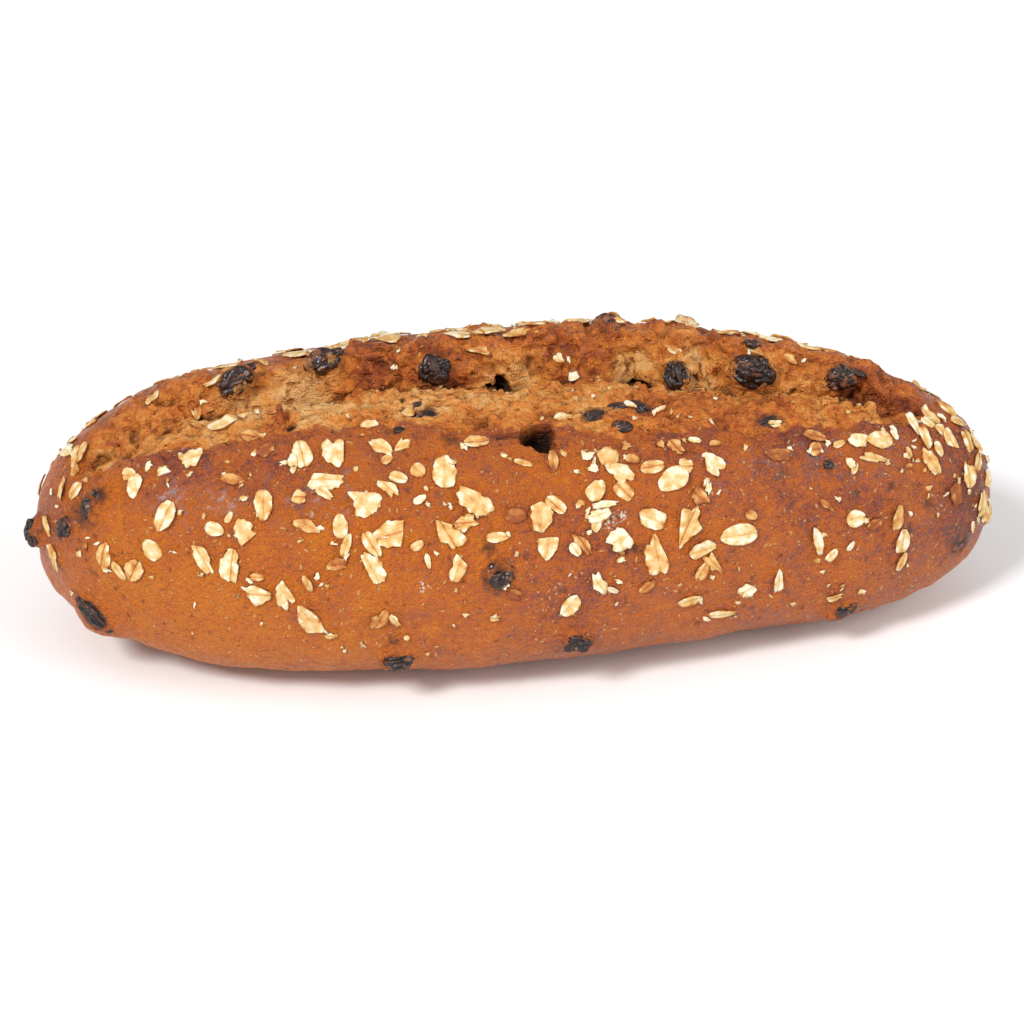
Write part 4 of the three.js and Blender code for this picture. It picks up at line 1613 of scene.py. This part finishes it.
# %% Grain
GRAIN_DEPTH = 0.0014  # metres from the lowest to the highest grain
height = graph.plus(graph.times(fine, 0.8), graph.times(grain, 0.5))
even = graph.minus(1.0, graph.times(torn_share, 0.45))
height = graph.times(height, even)
height = graph.plus(height, graph.times(strands, graph.times(torn_share, 0.3)))
height = graph.minus(height, graph.times(char, 0.5))
height = graph.plus(height, graph.times(bran_and_glints, 0.4))
height = graph.minus(height, graph.times(crumb_pores, graph.times(torn_share, 0.6)))
bump = graph.add("ShaderNodeBump", Strength=1.0, Distance=GRAIN_DEPTH, Height=height)
graph.feed(shader, "Normal", bump.outputs["Normal"])
dough.data.materials.clear()
dough.data.materials.append(dough_material)
print("dough nodes:", len(dough_material.node_tree.nodes))

# %% [markdown]
# ## The raisins' finish
# Raisin skin is a warm brown with a waxy gloss, and its folds are painted almost black: painted shade in
# the folds over the skin's own dark brown. Where a `film` of baked dough still clings to it, the colour
# turns to that of thin crust. One ramp does the skin, and mottle keeps it from looking painted.

# %% Raisin material
SUGAR_DUST = (0.3, 0.16, 0.09, 1)
BAKED_FILM = (0.27, 0.085, 0.03, 1)
raisin_material, graph, shader = new_material("raisin_skin", 0.35, Specular_IOR_Level=0.5)
where = graph.add("ShaderNodeTexCoord").outputs["Object"]
cloudy = place_group(graph, MOTTLE, where, Scale=420.0, Contrast=1.8)
# painted shade: crest is 0 in the folds, so the ramp's near-black end lands in them
tone = graph.times(graph.attribute("crest"), cloudy)
skin_colour = graph.ramp(
    tone,
    [(0.0, (0.006, 0.002, 0.001)), (0.4, (0.018, 0.006, 0.004)), (0.8, (0.055, 0.021, 0.014))],
)
dust = place_group(graph, SPECKS, where, Scale=1100.0, Size=0.3, Length=2.0, Share=0.25)
skin_colour = graph.mix(graph.times(dust, 0.3), skin_colour, SUGAR_DUST)
film = graph.times(graph.attribute("film"), graph.range(cloudy, 0.2, 0.6, 0.3, 0.85))
skin_colour = graph.mix(film, skin_colour, BAKED_FILM)
graph.feed(shader, "Base Color", skin_colour)
graph.feed(shader, "Roughness", graph.range(cloudy, 0.2, 0.8, 0.25, 0.5))
bump = graph.add("ShaderNodeBump", Strength=0.5, Distance=0.0003, Height=cloudy)
graph.feed(shader, "Normal", bump.outputs["Normal"])
for piece in raisin_pieces:
    piece.data.materials.append(raisin_material)
print("raisin nodes:", len(raisin_material.node_tree.nodes))

# %% [markdown]
# ## The oats' finish
# Oats run from floury white through cream to toffee with the `toast` of each flake. Fine fibres follow the
# flake's length, so they read the flake's own UV map and not the object's coordinates. The crease, and
# weaker a band beside it, is painted darker: painted shade in the groove.

# %% Oat material
oat_material, graph, shader = new_material("rolled_oat", 0.62, Specular_IOR_Level=0.3)
own = graph.add("ShaderNodeUVMap", {"uv_map": "flake"}).outputs["UV"]
drawn_out = graph.add("ShaderNodeMapping", Vector=own, Scale=(0.35, 2.2, 1.0)).outputs["Vector"]
fibre = place_group(graph, MOTTLE, drawn_out, Scale=1.5, Contrast=1.8)
cloud = place_group(graph, MOTTLE, own, Scale=0.4, Contrast=2.2)
tone = graph.plus(graph.attribute("toast"), around(graph, cloud, 0.6))
across_flake = graph.add("ShaderNodeSeparateXYZ", Vector=own).outputs["Y"]
off_crease = graph.math("ABSOLUTE", graph.plus(across_flake, around(graph, cloud, 0.35)))
# painted shade: the crease is darkened along its middle, and more weakly beside it
crease_shade = graph.times(graph.range(off_crease, 0.36, 0.06), graph.attribute("crease"))
tone = graph.plus(tone, graph.times(crease_shade, 0.36))
beside_crease_shade = graph.times(graph.range(off_crease, 1.3, 0.3), graph.attribute("crease"))
tone = graph.plus(tone, graph.times(beside_crease_shade, 0.12))
tone = graph.plus(tone, graph.times(graph.attribute("rim"), around(graph, cloud, 0.9)))
tone = graph.plus(tone, around(graph, fibre, 0.3), clamp=True)
oat_colour = graph.ramp(
    tone,
    [
        (0.0, (0.84, 0.74, 0.55)),
        (0.18, (0.73, 0.54, 0.26)),
        (0.42, (0.67, 0.38, 0.12)),
        (0.7, (0.5, 0.18, 0.04)),
        (1.0, (0.28, 0.07, 0.018)),
    ],
)
graph.feed(shader, "Base Color", oat_colour)
bump = graph.add("ShaderNodeBump", Strength=0.5, Distance=0.00025, Height=fibre)
graph.feed(shader, "Normal", bump.outputs["Normal"])
for piece in oat_pieces:
    piece.data.materials.append(oat_material)
print("materials:", [m.name for m in bpy.data.materials])

# %% [markdown]
# ## Floor and light
# The loaf sits on a plain white table that runs out of sight. A broad soft light hangs above and to the
# left, a weaker one fills the right, and a white sky does the rest, so that shadows stay short and soft.

# %% Floor
bm = bmesh.new()
bmesh.ops.create_grid(bm, x_segments=1, y_segments=1, size=4)
floor = object_from(bm, "floor")
floor_material, graph, shader = new_material("plain_floor", 0.8)
shader.inputs["Base Color"].default_value = grey(0.96)
shader.inputs["Specular IOR Level"].default_value = 0.1
floor.data.materials.append(floor_material)
print("floor:", floor.name)


# %% Lights
LOAF_MIDDLE = Vector((0, 0, 0.03))


def soft_light(name, place, size, power):
    """A square area light that looks at the loaf."""
    data = bpy.data.lights.new(name, "AREA")
    data.size = size
    data.energy = power
    light = bpy.data.objects.new(name, data)
    bpy.context.scene.collection.objects.link(light)
    light.location = place
    light.rotation_euler = (LOAF_MIDDLE - Vector(place)).to_track_quat("-Z", "Y").to_euler()


soft_light("key_light", (-2.8, -3.0, 4.3), 1.4, 256)
soft_light("fill_light", (4.2, -2.6, 3.0), 3.5, 140)
world = bpy.data.worlds.new("white_room")
world.use_nodes = True
world.node_tree.nodes["Background"].inputs["Color"].default_value = grey(1)
world.node_tree.nodes["Background"].inputs["Strength"].default_value = 0.55
bpy.context.scene.world = world
bpy.context.scene.view_settings.view_transform = "Standard"

# %% [markdown]
# ## The camera
# A long lens from nearly a metre away looks down on the loaf from the front, so that both ends keep their
# size. Its place is built from three angles and a distance, which are easier to read than a matrix.

# %% Camera
VIEW_AZIMUTH = -4.04  # degrees round the loaf from straight in front
VIEW_ELEVATION = 32.23
VIEW_ROLL = -0.67
VIEW_DISTANCE = 900  # millimetres
VIEW_TARGET = Vector((-0.75, 0, 29.73))
LENS = 118
azimuth, elevation, roll = (math.radians(a) for a in (VIEW_AZIMUTH, VIEW_ELEVATION, VIEW_ROLL))
level = math.cos(elevation)
back = Vector((math.sin(azimuth) * level, -math.cos(azimuth) * level, math.sin(elevation)))
level_right = Vector((0, 0, 1)).cross(back).normalized()
level_up = back.cross(level_right)
right = level_right * math.cos(roll) + level_up * math.sin(roll)
up = level_up * math.cos(roll) - level_right * math.sin(roll)
camera_data = bpy.data.cameras.new("camera")
camera_data.lens = LENS
camera_data.clip_end = 20
camera = bpy.data.objects.new("camera", camera_data)
bpy.context.scene.collection.objects.link(camera)
turned_to_loaf = Matrix((right, up, back)).transposed().to_4x4()
camera.matrix_world = Matrix.Translation(to_frame(VIEW_TARGET + back * VIEW_DISTANCE)) @ turned_to_loaf
bpy.context.scene.camera = camera
print("camera at", tuple(round(c, 3) for c in camera.matrix_world.translation))
